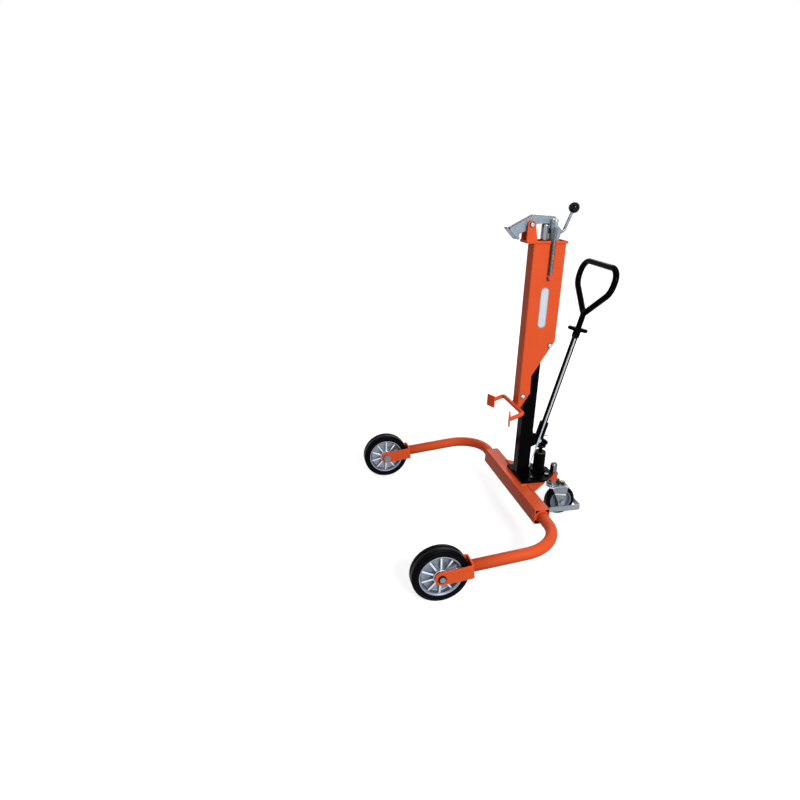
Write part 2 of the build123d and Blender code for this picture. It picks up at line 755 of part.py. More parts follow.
ear_side = outline(
    (flange_front + 0.5, flange_top), (pin_y - ear_r - 1, pin_z),
    (pin_y - ear_r + 0.5, pin_z + ear_r, ear_r - 1), (pin_y + ear_r - 0.5, pin_z + ear_r, ear_r - 1),
    (hatch_front - 1, flange_top))
ear = prism(ear_side, ear_in, ear_out) - x_rod(ear_in - 1, ear_out + 1, pin_y, pin_z, pin_d / 2)
nodes["ears"] = both(ear)
pin = x_rod(-ear_out, ear_out, pin_y, pin_z, pin_d / 2)
pin_head_r = pin_d / 2 + 1.5
pin_head = outline((ear_out, 0), (ear_out, pin_head_r), (ear_out + 6, pin_head_r, 3), (ear_out + 6, 0))
pin += both(turned_x(pin_head, 0, pin_y, pin_z))
nodes["beak_pin"] = pin

# Slide blocks behind and in front of the mast, each held by a screw in both side plates
ub_y, ub_z = upper_bolt
lb_y, lb_z = lower_bolt
upper_side = outline(
    (mast_back + face_gap, ub_z - upper_under), (ub_y - 6, ub_z - upper_under), (ub_y + upper_room, ub_z + 9),
    (ub_y + upper_room, ub_z + upper_over), (mast_back + face_gap, ub_z + upper_over))
upper = prism(upper_side, -carriage_in, carriage_in)
lower = slab(outline((-carriage_in, front_in, fold_r), (carriage_in, front_in, fold_r),
                     (carriage_in, mast_front - face_gap), (-carriage_in, mast_front - face_gap)),
             lb_z - block_under, lb_z + block_over)
screws = []
for by, bz in (upper_bolt, lower_bolt):
    stud = turned_x(outline(
        (carriage_in - 16, 0), (carriage_in - 16, screw_d / 2), (carriage_out, screw_d / 2),
        (carriage_out, screw_head_d / 2), (carriage_out + screw_head_h, screw_head_d / 2, 4.5),
        (carriage_out + screw_head_h, 0)), 0, by, bz)
    screws += [stud, mirrored(stud)]
for s in screws:
    upper -= s
    lower -= s
nodes["slide_block_upper"] = upper
nodes["slide_block_lower"] = lower
nodes["block_screws"] = Compound(screws)

# Cradle that steadies the load's side: one bent bar with a pad on each end
cradle_y = carriage_front - cradle_d / 2
pad_y = cradle_y - cradle_reach
pad_z = cradle_z - cradle_drop
cradle_path = rail(
    (-cradle_half, pad_y, pad_z), (-cradle_half, cradle_y, cradle_z, cradle_bend),
    (cradle_half, cradle_y, cradle_z, cradle_bend), (cradle_half, pad_y, pad_z))
cradle = pipe(cradle_path, cradle_d / 2)
toe = degrees(atan2(cradle_half, sqrt(load_r ** 2 - cradle_half ** 2)))
pad = block(-pad_w / 2, pad_w / 2, -pad_t, 0, -pad_h / 2, pad_h / 2)
pad = Pos(cradle_half, pad_y, pad_z) * Rot(Z=-toe) * pad
nodes["cradle"] = cradle + pad + mirrored(pad)

# Spring post and bare label plate on the left side plate
post = turned_x(outline(
    (carriage_in, 0), (carriage_in, post_d / 2 - 1.5), (carriage_out, post_d / 2 - 1.5),
    (carriage_out, post_d / 2), (tail_end - 3, post_d / 2), (tail_end - 3, post_d / 2 + 3),
    (tail_end, post_d / 2 + 3), (tail_end, 0)), 0, post_y, post_z)
nodes["spring_post"] = post
label = prism(SlotOverall(label_len, label_w, rotation=90), carriage_out, carriage_out + label_t)
nodes["label_plate"] = Pos(0, label_y, label_z) * label


# Beak spring: close coils between a hook on the tail bolt and a hook on the post
def biarc(p0, t0, p1, t1):
    """Two tangent arcs from p0 along t0 to p1 along t1."""
    v = p1 - p0
    t = t0 + t1
    k = 2 * (1 - t0.dot(t1))
    d = (-v.dot(t) + sqrt(v.dot(t) ** 2 + k * v.dot(v))) / k
    m = (p0 + t0 * d + p1 - t1 * d) * 0.5
    tm = (p1 - t1 * d - p0 - t0 * d).normalized()
    return [TangentArc(p0, m, tangent=t0), TangentArc(m, p1, tangent=tm)]


mean_r = (spring_d - wire_d) / 2
pitch = (coil_high - coil_low) / coils
climb = atan2(pitch, 2 * pi * mean_r)
cx, cy = spring_x, tail_y


def coil_point(turn):
    a = 2 * pi * turn
    return Vector(cx + mean_r * cos(a), cy + mean_r * sin(a), coil_low + pitch * turn)


def coil_way(turn):
    a = 2 * pi * turn
    return Vector(-sin(a) * cos(climb), cos(a) * cos(climb), sin(climb))


hook_top = tail_d / 2 + face_gap + wire_d / 2
hook_low = post_d / 2 + face_gap + wire_d / 2


def hook(z, r, up):
    """Ring of three quarters of a turn round a pin at height z, entered from the coils."""
    k = 1 if up else -1
    side = Vector(cx, cy - r, z)
    far = Vector(cx, cy, z + k * r)
    back = Vector(cx, cy + r, z)
    last = Vector(cx, cy + r * 0.4, z - k * r * 0.917)
    one = ThreePointArc(side, Vector(cx, cy - r * sqrt(0.5), z + k * r * sqrt(0.5)), far)
    two = ThreePointArc(far, Vector(cx, cy + r * sqrt(0.5), z + k * r * sqrt(0.5)), back)
    three = ThreePointArc(back, Vector(cx, cy + r * 0.837, z - k * r * 0.547), last)
    return side, [one, two, three]


turns = []
for i in range(2 * coils):
    turns += biarc(coil_point(i / 2), coil_way(i / 2), coil_point((i + 1) / 2), coil_way((i + 1) / 2))
top_side, top_ring = hook(tail_z, hook_top, True)
low_side, low_ring = hook(post_z, hook_low, False)
lead_up = biarc(coil_point(coils), coil_way(coils), top_side, Vector(0, 0, 1))
lead_low = biarc(low_side, Vector(0, 0, 1), coil_point(0), coil_way(0))
spring_path = Wire([e for e in reversed(low_ring)] + lead_low + turns + lead_up + top_ring)
nodes["beak_spring"] = pipe(spring_path, wire_d / 2)


def least_gap(edges, wire):
    """Smallest clear space between stretches of the wire that are over half a turn apart."""
    pts = []
    run = 0.0
    for e in edges:
        pts += [(run + e.length * k / 6, e @ (k / 6)) for k in range(6)]
        run += e.length
    apart = pi * mean_r
    near = [(q - p).length for i, (s, p) in enumerate(pts) for t, q in pts[i:i + 160] if t - s > apart]
    return min(near) - wire


print("spring's least gap to itself", round(least_gap(lead_low + turns + lead_up, wire_d), 2), "mm")


# Pump handle, drawn upright from its pivot and then leaned back
def leaned(shape):
    return Pos(0, pivot_y, pivot_z) * Rot(X=-lean) * shape


a = radians(lean)
off_y, off_z = nose_y - pivot_y, nose_z - pivot_z
nose_v = off_y * cos(a) - off_z * sin(a)
nose_up = off_y * sin(a) + off_z * cos(a)
kh = knuckle_w / 2
knuckle = x_rod(-kh, kh, 0, 0, 16) + block(-kh, kh, -15, 15, 0, socket_low + 1)
knuckle += x_rod(-kh, kh, nose_v, nose_up, nose_r)
cam_side = outline((-4, -15.4), (nose_v, nose_up - nose_r), (nose_v, nose_up + nose_r), (10, 14))
knuckle += prism(cam_side, -kh, kh)
socket = z_rod(socket_low, socket_top, 0, 0, socket_d / 2)
socket = fillet(socket.edges().filter_by(GeomType.CIRCLE), 2) + knuckle
clip = rod((0, -socket_d / 2 - 5, clip_z), (0, socket_d / 2 + clip_out, clip_z), clip_d / 2)
socket -= z_rod(socket_low + 8, socket_top + 1, 0, 0, shaft_d / 2)
socket -= clip
socket -= x_rod(-kh - 1, kh + 1, 0, 0, pivot_d / 2 + run_gap)
nodes["handle_socket"] = leaned(socket)
grip_face = outline(
    (0, loop_low, loop_low_r), (loop_half, loop_low + loop_side, loop_side_r),
    (loop_half, loop_low + loop_top, loop_top_r), (-loop_half, loop_low + loop_top, loop_top_r),
    (-loop_half, loop_low + loop_side, loop_side_r))
grip = pipe((Plane.XZ * grip_face).face().outer_wire(), loop_d / 2)
shaft = z_rod(socket_low + 8, loop_low + 4, 0, 0, shaft_d / 2, shaft_d / 2 - shaft_t)
nodes["handle_shaft"] = leaned(shaft - grip - clip)
nodes["handle_loop"] = leaned(grip)
nodes["socket_pin"] = leaned(clip)

# Bracket on the back of the mast, with the handle's pivot pin
cheek_side = outline(
    (mast_back, pivot_z - cheek_down), (mast_back, pivot_z + cheek_up),
    (mast_back + 15, pivot_z + cheek_up, 5), (mast_back + cheek_root, pivot_z + cheek_r),
    (pivot_y + cheek_r, pivot_z + cheek_r, cheek_r - 0.1),
    (pivot_y + cheek_r, pivot_z - cheek_r, cheek_r - 0.1), (mast_back + cheek_root, pivot_z - cheek_r))
cheek = prism(cheek_side, cheek_in, cheek_out)
cheek -= x_rod(cheek_in - 1, cheek_out + 1, pivot_y, pivot_z, pivot_d / 2)
nodes["handle_bracket"] = both(cheek)
nodes["handle_pin"] = x_rod(-cheek_out, cheek_out, pivot_y, pivot_z, pivot_d / 2)

# Release collar with its oval finger plate, and the rod that runs down beside the shaft
collar_r = collar_d / 2
collar = turned_z(outline(
    (0, collar_low), (collar_r - collar_edge, collar_low), (collar_r, collar_low + collar_edge),
    (collar_r, collar_top), (0, collar_top)), 0, 0, 0)
wing = slab(SlotOverall(wing_len, wing_w, rotation=90), collar_top - wing_t, collar_top)
collar += fillet(wing.edges().group_by(Axis.Z)[0] + wing.edges().group_by(Axis.Z)[-1], wing_edge)
collar += block(0, rod_x + 6, rod_y - 5, rod_y + 5, collar_low, collar_low + 12)
collar -= z_rod(collar_low - 1, collar_top + 1, 0, 0, shaft_d / 2 + run_gap)
collar -= z_rod(collar_low - 1, collar_low + 8, rod_x, rod_y, rod_d / 2)
nodes["release_collar"] = leaned(collar)
release = z_rod(rod_low, collar_low + 8, rod_x, rod_y, rod_d / 2)
release += z_rod(rod_low + ferrule_up, rod_low + ferrule_up + ferrule_len, rod_x, rod_y, ferrule_d / 2)
release += z_rod(rod_low, rod_low + rod_nut, rod_x, rod_y, ferrule_d / 2)
nodes["release_rod"] = leaned(release)

# Valve rod below it, which lifts in a small valve body on the base plate
rod_end = Vector(
    rod_x, pivot_y + rod_y * cos(a) + rod_low * sin(a), pivot_z - rod_y * sin(a) + rod_low * cos(a))
valve_mid = Vector(valve_x, valve_y, valve_top - valve_in / 2)
valve_way = (rod_end - valve_mid).normalized()
valve_low = valve_mid - valve_way * valve_in / 2
valve_high = rod_end - valve_way * 0.6
nodes["valve_rod"] = rod(tuple(valve_low), tuple(valve_high), valve_rod_d / 2)
valve = z_rod(base_top, valve_top, valve_x, valve_y, valve_d / 2)
valve -= rod(tuple(valve_low - valve_way * 2), tuple(valve_high), valve_rod_d / 2 + run_gap)
nodes["valve_body"] = valve

# Hand pump on the base plate, with a plunger under the handle's nose
pump_r = pump_d / 2
plunger_r = plunger_d / 2
cap_z = pump_top - pump_cap_h
pump_low = base_top + 20
nodes["pump_body"] = turned_z(outline(
    (0, base_top), (pump_foot_d / 2, base_top), (pump_foot_d / 2, base_top + pump_foot_t, 3),
    (pump_r, base_top + pump_foot_t + 2, 2), (pump_r, cap_z), (plunger_r + 1, cap_z),
    (plunger_r + 1, pump_low), (0, pump_low)), 0, pump_y, 0)
nodes["pump_cap"] = turned_z(outline(
    (plunger_r + run_gap, cap_z), (pump_r - 1, cap_z), (pump_r - 1, pump_top, 2.5),
    (plunger_r + run_gap, pump_top)), 0, pump_y, 0)
nodes["plunger"] = turned_z(outline(
    (0, pump_low + 25), (plunger_r, pump_low + 25), (plunger_r, plunger_top - plunger_head_t),
    (plunger_head_d / 2, plunger_top - plunger_head_t), (plunger_head_d / 2, plunger_top),
    (0, plunger_top)), 0, pump_y, 0)

os.makedirs("parts", exist_ok=True)
for name, shape in nodes.items():
    export_step(Pos(0, -y_mid, 0) * shape, "parts/" + name + ".step")
print(len(nodes), "nodes, y_mid", y_mid)
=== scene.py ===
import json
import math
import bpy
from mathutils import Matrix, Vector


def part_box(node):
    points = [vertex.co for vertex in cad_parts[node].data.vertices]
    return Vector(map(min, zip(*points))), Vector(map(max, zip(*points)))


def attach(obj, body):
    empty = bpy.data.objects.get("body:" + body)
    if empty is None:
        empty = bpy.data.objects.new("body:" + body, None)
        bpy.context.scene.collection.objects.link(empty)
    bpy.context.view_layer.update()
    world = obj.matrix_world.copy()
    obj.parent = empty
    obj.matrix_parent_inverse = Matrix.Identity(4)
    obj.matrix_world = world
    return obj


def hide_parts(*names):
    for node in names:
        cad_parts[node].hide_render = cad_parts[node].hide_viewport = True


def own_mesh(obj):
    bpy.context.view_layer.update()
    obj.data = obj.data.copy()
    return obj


bl_info = {
    "name": "Drum truck",
    "version": (1, 0, 0),
    "blender": (4, 5, 0),
    "location": "View3D > Sidebar > Truck",
    "description": "Finishes the pieces of a three-wheeled hydraulic drum truck",
    "category": "Object",
}

import bmesh
import bpy
from mathutils import Matrix, Vector
from mathutils.bvhtree import BVHTree

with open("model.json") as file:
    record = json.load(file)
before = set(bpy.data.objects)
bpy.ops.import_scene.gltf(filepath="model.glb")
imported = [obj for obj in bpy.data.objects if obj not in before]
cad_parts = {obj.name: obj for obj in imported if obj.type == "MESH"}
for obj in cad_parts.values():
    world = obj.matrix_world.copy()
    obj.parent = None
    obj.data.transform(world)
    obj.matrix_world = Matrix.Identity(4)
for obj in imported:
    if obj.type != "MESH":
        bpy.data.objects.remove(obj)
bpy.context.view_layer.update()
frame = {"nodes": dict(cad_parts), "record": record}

MM = 0.001
FULL_TURN = 2 * math.pi
BODY = {n: b for b, names in frame["record"]["behaviour"]["bodies"].items() for n in names}
SLOT = {s["node"]: s["material_slot"] for s in frame["record"]["subparts"]}

# Sockets of the node that mixes two colours
FACTOR, FIRST, SECOND, MIXED = 0, 6, 7, 2

# Points this close are one point, in a new mesh and in the loose triangles of a solid
SAME_POINT, SAME_CORNER = 0.001 * MM, 0.002 * MM
# Triangles of a solid that turn less than this are one face
FLAT = math.radians(0.4)
# Share of a face's normal along X that makes it an end, and along Z that makes it a top
END_FACE, TOP_FACE = 0.5, 0.8


def linear(code):
    """sRGB hex to linear RGBA."""
    out = []
    for i in (1, 3, 5):
        c = int(code[i:i + 2], 16) / 255
        out.append(c / 12.92 if c <= 0.04045 else ((c + 0.055) / 1.055) ** 2.4)
    return (*out, 1.0)


def tone(colour, k):
    """The same colour, lighter or darker."""
    return (*[min(1.0, c * k) for c in colour[:3]], 1.0)


class TruckSizes(bpy.types.PropertyGroup):
    """Sizes that a user may change"""
    edge: bpy.props.FloatProperty(
        name="Plate edge", description="Rounding of cut plate edges", default=0.9 * MM, unit="LENGTH")
    cast_edge: bpy.props.FloatProperty(
        name="Forged edge", description="Rounding of forged edges", default=1.6 * MM, unit="LENGTH")
    weld: bpy.props.FloatProperty(
        name="Weld bead", description="Radius of the weld beads", default=2.6 * MM, unit="LENGTH")
    weld_step: bpy.props.FloatProperty(
        name="Weld step", description="Distance between a bead's ripples", default=3.2 * MM, unit="LENGTH")
    wire: bpy.props.FloatProperty(
        name="Spring wire", description="Diameter of the spring's wire", default=2.6 * MM, unit="LENGTH")
    coil: bpy.props.FloatProperty(
        name="Spring coil", description="Outer diameter of the spring", default=14 * MM, unit="LENGTH")
    turns: bpy.props.IntProperty(name="Spring turns", description="Number of coils", default=55)
    leg: bpy.props.FloatProperty(
        name="Leg tube", description="Outer diameter of the bent legs", default=42.4 * MM, unit="LENGTH")
    leg_bend: bpy.props.FloatProperty(
        name="Leg bend", description="Radius of a leg's bend", default=140 * MM, unit="LENGTH")
    screw: bpy.props.FloatProperty(
        name="Screw head", description="Diameter of the domed heads", default=17.5 * MM, unit="LENGTH")
    washer: bpy.props.FloatProperty(
        name="Washer", description="Diameter of the washers under them", default=21 * MM, unit="LENGTH")


class TruckColours(bpy.types.PropertyGroup):
    """Colours that a user may change"""
    orange: bpy.props.FloatVectorProperty(
        name="Orange", description="Enamel of frame and carriage",
        subtype="COLOR", size=4, default=linear("#E85C31"))
    black: bpy.props.FloatVectorProperty(
        name="Black", description="Enamel of mast, pump and handle",
        subtype="COLOR", size=4, default=linear("#040405"))
    zinc: bpy.props.FloatVectorProperty(
        name="Zinc", description="Galvanised steel",
        subtype="COLOR", size=4, default=linear("#8A939C"))
    rubber: bpy.props.FloatVectorProperty(
        name="Rubber", description="Tyres",
        subtype="COLOR", size=4, default=linear("#07070A"))
    alloy: bpy.props.FloatVectorProperty(
        name="Alloy", description="Cast wheel hubs",
        subtype="COLOR", size=4, default=linear("#8A929E"))


# Materials. What is the same all over a surface is a number on the shader's own socket

finish = {}


def add(tree, kind, values=None, **settings):
    """One node with its settings. Values may be numbers, colours or other nodes' outputs."""
    n = tree.nodes.new(kind)
    for k, v in settings.items():
        setattr(n, k, v)
    for k, v in (values or {}).items():
        if isinstance(v, bpy.types.NodeSocket):
            tree.links.new(v, n.inputs[k])
        else:
            n.inputs[k].default_value = v
    return n


def new_finish(name):
    """Empty material, and the place of a point on its piece."""
    mat = bpy.data.materials.new(name)
    mat.use_nodes = True
    finish[name] = mat
    tree = mat.node_tree
    tree.nodes.clear()
    return tree, add(tree, "ShaderNodeTexCoord").outputs["Object"]


def enamel(name, colour, peel_mm, rough, gloss):
    """Enamel sprayed on steel: even colour, soft orange peel, and a little dust that dulls the gloss."""
    cloud_mm, dust_mm, depth_mm, dusty = 90, 9, 0.1, 0.12
    dark, light = tone(colour, 0.94), tone(colour, 1.05)
    t, place = new_finish(name)
    cloud = add(t, "ShaderNodeTexNoise", {"Vector": place, "Scale": 1 / (cloud_mm * MM), "Detail": 4.0})
    paint = add(t, "ShaderNodeMix", {
        FACTOR: cloud.outputs["Fac"], FIRST: dark, SECOND: light}, data_type="RGBA")
    dust = add(t, "ShaderNodeTexNoise", {
        "Vector": place, "Scale": 1 / (dust_mm * MM), "Detail": 6.0, "Roughness": 0.7})
    dull = add(t, "ShaderNodeMapRange", {
        "Value": dust.outputs["Fac"], "From Min": 0.45, "From Max": 0.75,
        "To Min": rough, "To Max": rough + dusty})
    peel = add(t, "ShaderNodeTexNoise", {"Vector": place, "Scale": 1 / (peel_mm * MM), "Detail": 1.0})
    bump = add(t, "ShaderNodeBump", {
        "Height": peel.outputs["Fac"], "Strength": 0.2, "Distance": depth_mm * MM})
    bsdf = add(t, "ShaderNodeBsdfPrincipled", {
        "IOR": 1.5, "Specular IOR Level": gloss, "Base Color": paint.outputs[MIXED],
        "Roughness": dull.outputs[0], "Normal": bump.outputs[0]})
    add(t, "ShaderNodeOutputMaterial", {"Surface": bsdf.outputs[0]})


def worn_edge(name, colour, gloss):
    """Enamel where it runs thin over an edge: lighter, with small chips down to grey primer."""
    chip_mm, thin, primer = 5, tone(colour, 1.1), linear("#6E5F58")
    t, place = new_finish(name)
    chips = add(t, "ShaderNodeTexNoise", {
        "Vector": place, "Scale": 1 / (chip_mm * MM), "Detail": 5.0, "Roughness": 0.75})
    gate = add(t, "ShaderNodeMapRange", {"Value": chips.outputs["Fac"], "From Min": 0.68, "From Max": 0.74})
    paint = add(t, "ShaderNodeMix", {
        FACTOR: gate.outputs[0], FIRST: thin, SECOND: primer}, data_type="RGBA")
    bsdf = add(t, "ShaderNodeBsdfPrincipled", {
        "IOR": 1.5, "Roughness": 0.34, "Specular IOR Level": gloss, "Base Color": paint.outputs[MIXED]})
    add(t, "ShaderNodeOutputMaterial", {"Surface": bsdf.outputs[0]})


def plated(name, colour, low, high, patch_mm, grain_mm, depth_mm, spread, metal):
    """Metal skin: cloudy patches in two tones, and a dullness from low to high that follows them.
    The rolled or cast grain is drawn coarser than it is, so that it shows."""
    dark, light = tone(colour, 1 - spread), tone(colour, 1 + spread)
    t, place = new_finish(name)
    cloud = add(t, "ShaderNodeTexNoise", {
        "Vector": place, "Scale": 1 / (patch_mm * MM), "Detail": 5.0, "Roughness": 0.6})
    skin = add(t, "ShaderNodeMapRange", {"Value": cloud.outputs["Fac"], "From Min": 0.35, "From Max": 0.65})
    tint = add(t, "ShaderNodeMix", {
        FACTOR: skin.outputs[0], FIRST: dark, SECOND: light}, data_type="RGBA")
    dull = add(t, "ShaderNodeMapRange", {
        "Value": cloud.outputs["Fac"], "From Min": 0.3, "From Max": 0.7, "To Min": low, "To Max": high})
    grain = add(t, "ShaderNodeTexNoise", {"Vector": place, "Scale": 1 / (grain_mm * MM), "Detail": 3.0})
    bump = add(t, "ShaderNodeBump", {
        "Height": grain.outputs["Fac"], "Strength": 0.4, "Distance": depth_mm * MM})
    bsdf = add(t, "ShaderNodeBsdfPrincipled", {
        "Metallic": metal, "Base Color": tint.outputs[MIXED], "Roughness": dull.outputs[0],
        "Normal": bump.outputs[0]})
    add(t, "ShaderNodeOutputMaterial", {"Surface": bsdf.outputs[0]})


def chrome(name, colour):
    """Chrome over ground steel: a mirror with faint lines round the piece, drawn coarser than they are."""
    line_mm, long_mm = 0.75, 30.0
    t, place = new_finish(name)
    flat = add(t, "ShaderNodeMapping", {"Vector": place, "Scale": (1.0, 1.0, long_mm / line_mm)})
    lines = add(t, "ShaderNodeTexNoise", {
        "Vector": flat.outputs[0], "Scale": 1 / (long_mm * MM), "Detail": 3.0})
    dull = add(t, "ShaderNodeMapRange", {"Value": lines.outputs["Fac"], "To Min": 0.05, "To Max": 0.17})
    bsdf = add(t, "ShaderNodeBsdfPrincipled", {
        "Metallic": 1.0, "Base Color": colour, "Roughness": dull.outputs[0]})
    add(t, "ShaderNodeOutputMaterial", {"Surface": bsdf.outputs[0]})


def rubber(name, colour):
    """Moulded tyre rubber: near black, greyed a little by dust, satin on the shoulders.
    The mould's grain is drawn coarser than it is, so that it shows."""
    dust_mm, grain_mm, depth_mm = 35, 0.9, 0.1
    dark, light = tone(colour, 0.75), tone(colour, 1.4)
    t, place = new_finish(name)
    dust = add(t, "ShaderNodeTexNoise", {
        "Vector": place, "Scale": 1 / (dust_mm * MM), "Detail": 6.0, "Roughness": 0.65})
    skin = add(t, "ShaderNodeMix", {
        FACTOR: dust.outputs["Fac"], FIRST: dark, SECOND: light}, data_type="RGBA")
    dull = add(t, "ShaderNodeMapRange", {"Value": dust.outputs["Fac"], "To Min": 0.28, "To Max": 0.5})
    grain = add(t, "ShaderNodeTexNoise", {"Vector": place, "Scale": 1 / (grain_mm * MM), "Detail": 2.0})
    bump = add(t, "ShaderNodeBump", {
        "Height": grain.outputs["Fac"], "Strength": 0.3, "Distance": depth_mm * MM})
    bsdf = add(t, "ShaderNodeBsdfPrincipled", {
        "IOR": 1.52, "Specular IOR Level": 0.022, "Base Color": skin.outputs[MIXED],
        "Roughness": dull.outputs[0], "Normal": bump.outputs[0]})
    add(t, "ShaderNodeOutputMaterial", {"Surface": bsdf.outputs[0]})


def plastic(name, colour, low, high, grain_mm, gloss):
    """Plastic: even colour with a slight cloud, and a fine skin that is drawn coarse enough to show."""
    cloud_mm, depth_mm = 20, 0.08
    dark, light = tone(colour, 0.9), tone(colour, 1.08)
    t, place = new_finish(name)
    cloud = add(t, "ShaderNodeTexNoise", {"Vector": place, "Scale": 1 / (cloud_mm * MM), "Detail": 4.0})
    skin = add(t, "ShaderNodeMix", {
        FACTOR: cloud.outputs["Fac"], FIRST: dark, SECOND: light}, data_type="RGBA")
    dull = add(t, "ShaderNodeMapRange", {"Value": cloud.outputs["Fac"], "To Min": low, "To Max": high})
    grain = add(t, "ShaderNodeTexNoise", {"Vector": place, "Scale": 1 / (grain_mm * MM), "Detail": 2.0})
    bump = add(t, "ShaderNodeBump", {
        "Height": grain.outputs["Fac"], "Strength": 0.15, "Distance": depth_mm * MM})
    bsdf = add(t, "ShaderNodeBsdfPrincipled", {
        "IOR": 1.5, "Specular IOR Level": gloss, "Base Color": skin.outputs[MIXED],
        "Roughness": dull.outputs[0], "Normal": bump.outputs[0]})
    add(t, "ShaderNodeOutputMaterial", {"Surface": bsdf.outputs[0]})


# Meshes

def made(name, mesh):
    """Object for a mesh, at the origin."""
    obj = bpy.data.objects.new(name, mesh)
    bpy.context.scene.collection.objects.link(obj)
    return obj


def piece(obj, body, slot, *nodes):
    """Puts a finished object on a body and in place of the named solids. The slot is not used."""
    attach(obj, body)
    if nodes:
        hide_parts(*nodes)
    return obj


def applied(obj):
    """The mesh as its modifiers leave it, with the modifiers taken off."""
    bpy.context.view_layer.update()
    dg = bpy.context.evaluated_depsgraph_get()
    mesh = bpy.data.meshes.new_from_object(obj.evaluated_get(dg))
    obj.modifiers.clear()
    old = obj.data
    obj.data = mesh
    bpy.data.meshes.remove(old)
    return obj


def mesh_of(name, verts, faces, mats, smooth=True):
    """Closed mesh with its doubles merged and its faces turned outwards."""
    mesh = bpy.data.meshes.new(name)
    mesh.from_pydata([tuple(v) for v in verts], [], faces)
    mesh.validate()
    bm = bmesh.new()
    bm.from_mesh(mesh)
    bmesh.ops.remove_doubles(bm, verts=bm.verts, dist=SAME_POINT)
    bmesh.ops.recalc_face_normals(bm, faces=bm.faces)
    bm.to_mesh(mesh)
    bm.free()
    for m in mats:
        mesh.materials.append(m)
    for p in mesh.polygons:
        p.use_smooth = smooth
    return mesh


def marked_copy(node, angle, least):
    """Copy of a solid's mesh with its edges over an angle marked for rounding, and the solid to measure from.
    Edges shorter than least stay sharp."""
    mesh = frame["nodes"][node].data.copy()
    mesh.name = node + "_skin"
    mesh.materials.clear()
    for layer in ("custom_normal", "sharp_edge", "sharp_face"):
        if layer in mesh.attributes:
            mesh.attributes.remove(mesh.attributes[layer])
    bm = bmesh.new()
    bm.from_mesh(mesh)
    bmesh.ops.remove_doubles(bm, verts=bm.verts, dist=SAME_CORNER)
    solid = BVHTree.FromBMesh(bm)
    bmesh.ops.dissolve_limit(
        bm, angle_limit=FLAT, verts=bm.verts[:], edges=bm.edges[:], use_dissolve_boundaries=False)
    weight = bm.edges.layers.float.new("bevel_weight_edge")
    for e in bm.edges:
        if e.calc_face_angle(0) > math.radians(angle):
            e[weight] = float(e.calc_length() >= least)
            e.smooth = e[weight] > 0
    bm.to_mesh(mesh)
    bm.free()
    return mesh, solid


def dressed(node, mat, edge=None, worn=None, angle=28, steps=2, least=0):
    """Copy of a solid with its cut edges rounded, and worn where a finish for that is named.
    It stands for the solid."""
    width = edge or bpy.context.scene.truck_sizes.edge
    mesh, solid = marked_copy(node, angle, least)
    mesh.materials.append(finish[mat])
    mesh.materials.append(finish[worn or mat])
    for p in mesh.polygons:
        p.use_smooth = True
        p.material_index = 0
    obj = made(node + "_skin", mesh)
    round_off = obj.modifiers.new("Edges", "BEVEL")
    round_off.width = width
    round_off.segments = steps
    round_off.limit_method = "WEIGHT"
    round_off.use_clamp_overlap = False
    round_off.material = 1
    applied(obj)
    # A corner that the rounding threw away from the solid goes back to it
    for v in obj.data.vertices:
        near, _, _, far = solid.find_nearest(v.co)
        if far > width:
            v.co = near
    flat = obj.modifiers.new("Flat faces", "WEIGHTED_NORMAL")
    flat.mode = "FACE_AREA"
    flat.weight = 100
    flat.keep_sharp = True
    return piece(applied(obj), BODY[node], SLOT[node], node)


def recolour(obj, mat, test):
    """Another finish for the faces whose centre and normal pass a test."""
    obj.data.materials.append(finish[mat])
    k = len(obj.data.materials) - 1
    for p in obj.data.polygons:
        if test(p.center, p.normal):
            p.material_index = k


def kept(mat, *nodes):
    """Solids that are right as they are get only their finish."""
    for n in nodes:
        o = frame["nodes"][n]
        o.data.materials.clear()
        o.data.materials.append(finish[mat])


def arc(centre, start, end, steps):
    """Points on the shorter arc from start to end about a centre, both included."""
    a, b = Vector(start) - Vector(centre), Vector(end) - Vector(centre)
    axis, angle = a.rotation_difference(b).to_axis_angle()
    return [Vector(centre) + Matrix.Rotation(angle * i / steps, 3, axis) @ a for i in range(steps + 1)]


def rounded(points, radii, closed=False, steps=16):
    """Polyline through points whose corners are arcs of the given radii."""
    out, n = [], len(points)
    for i, p in enumerate(points):
        p, r = Vector(p), radii[i]
        if not r or (not closed and i in (0, n - 1)):
            out.append(p)
            continue
        a = (Vector(points[i - 1]) - p).normalized()
        b = (Vector(points[(i + 1) % n]) - p).normalized()
        half = a.angle(b) / 2
        centre = p + (a + b).normalized() * (r / math.sin(half))
        out += arc(centre, p + a * (r / math.tan(half)), p + b * (r / math.tan(half)), steps)
    return out


def tube(name, path, radius, mats, sides):
    """Tube swept along points, without twist, with closed ends."""
    n = len(path)
    verts, faces = [], []
    up = None
    for i, p in enumerate(path):
        way = path[min(i + 1, n - 1)] - path[max(i - 1, 0)]
        way.normalize()
        if up is None:
            up = way.orthogonal().normalized()
        up = (up - way * up.dot(way)).normalized()
        side = way.cross(up)
        for k in range(sides):
            w = FULL_TURN * k / sides
            verts.append(p + (up * math.cos(w) + side * math.sin(w)) * radius)
    for i in range(n - 1):
        a, b = i * sides, (i + 1) * sides
        for k in range(sides):
            m = (k + 1) % sides
            faces.append((a + k, a + m, b + m, b + k))
    faces += [tuple(range(sides)), tuple(range((n - 1) * sides, n * sides))]
    return mesh_of(name, verts, faces, mats)


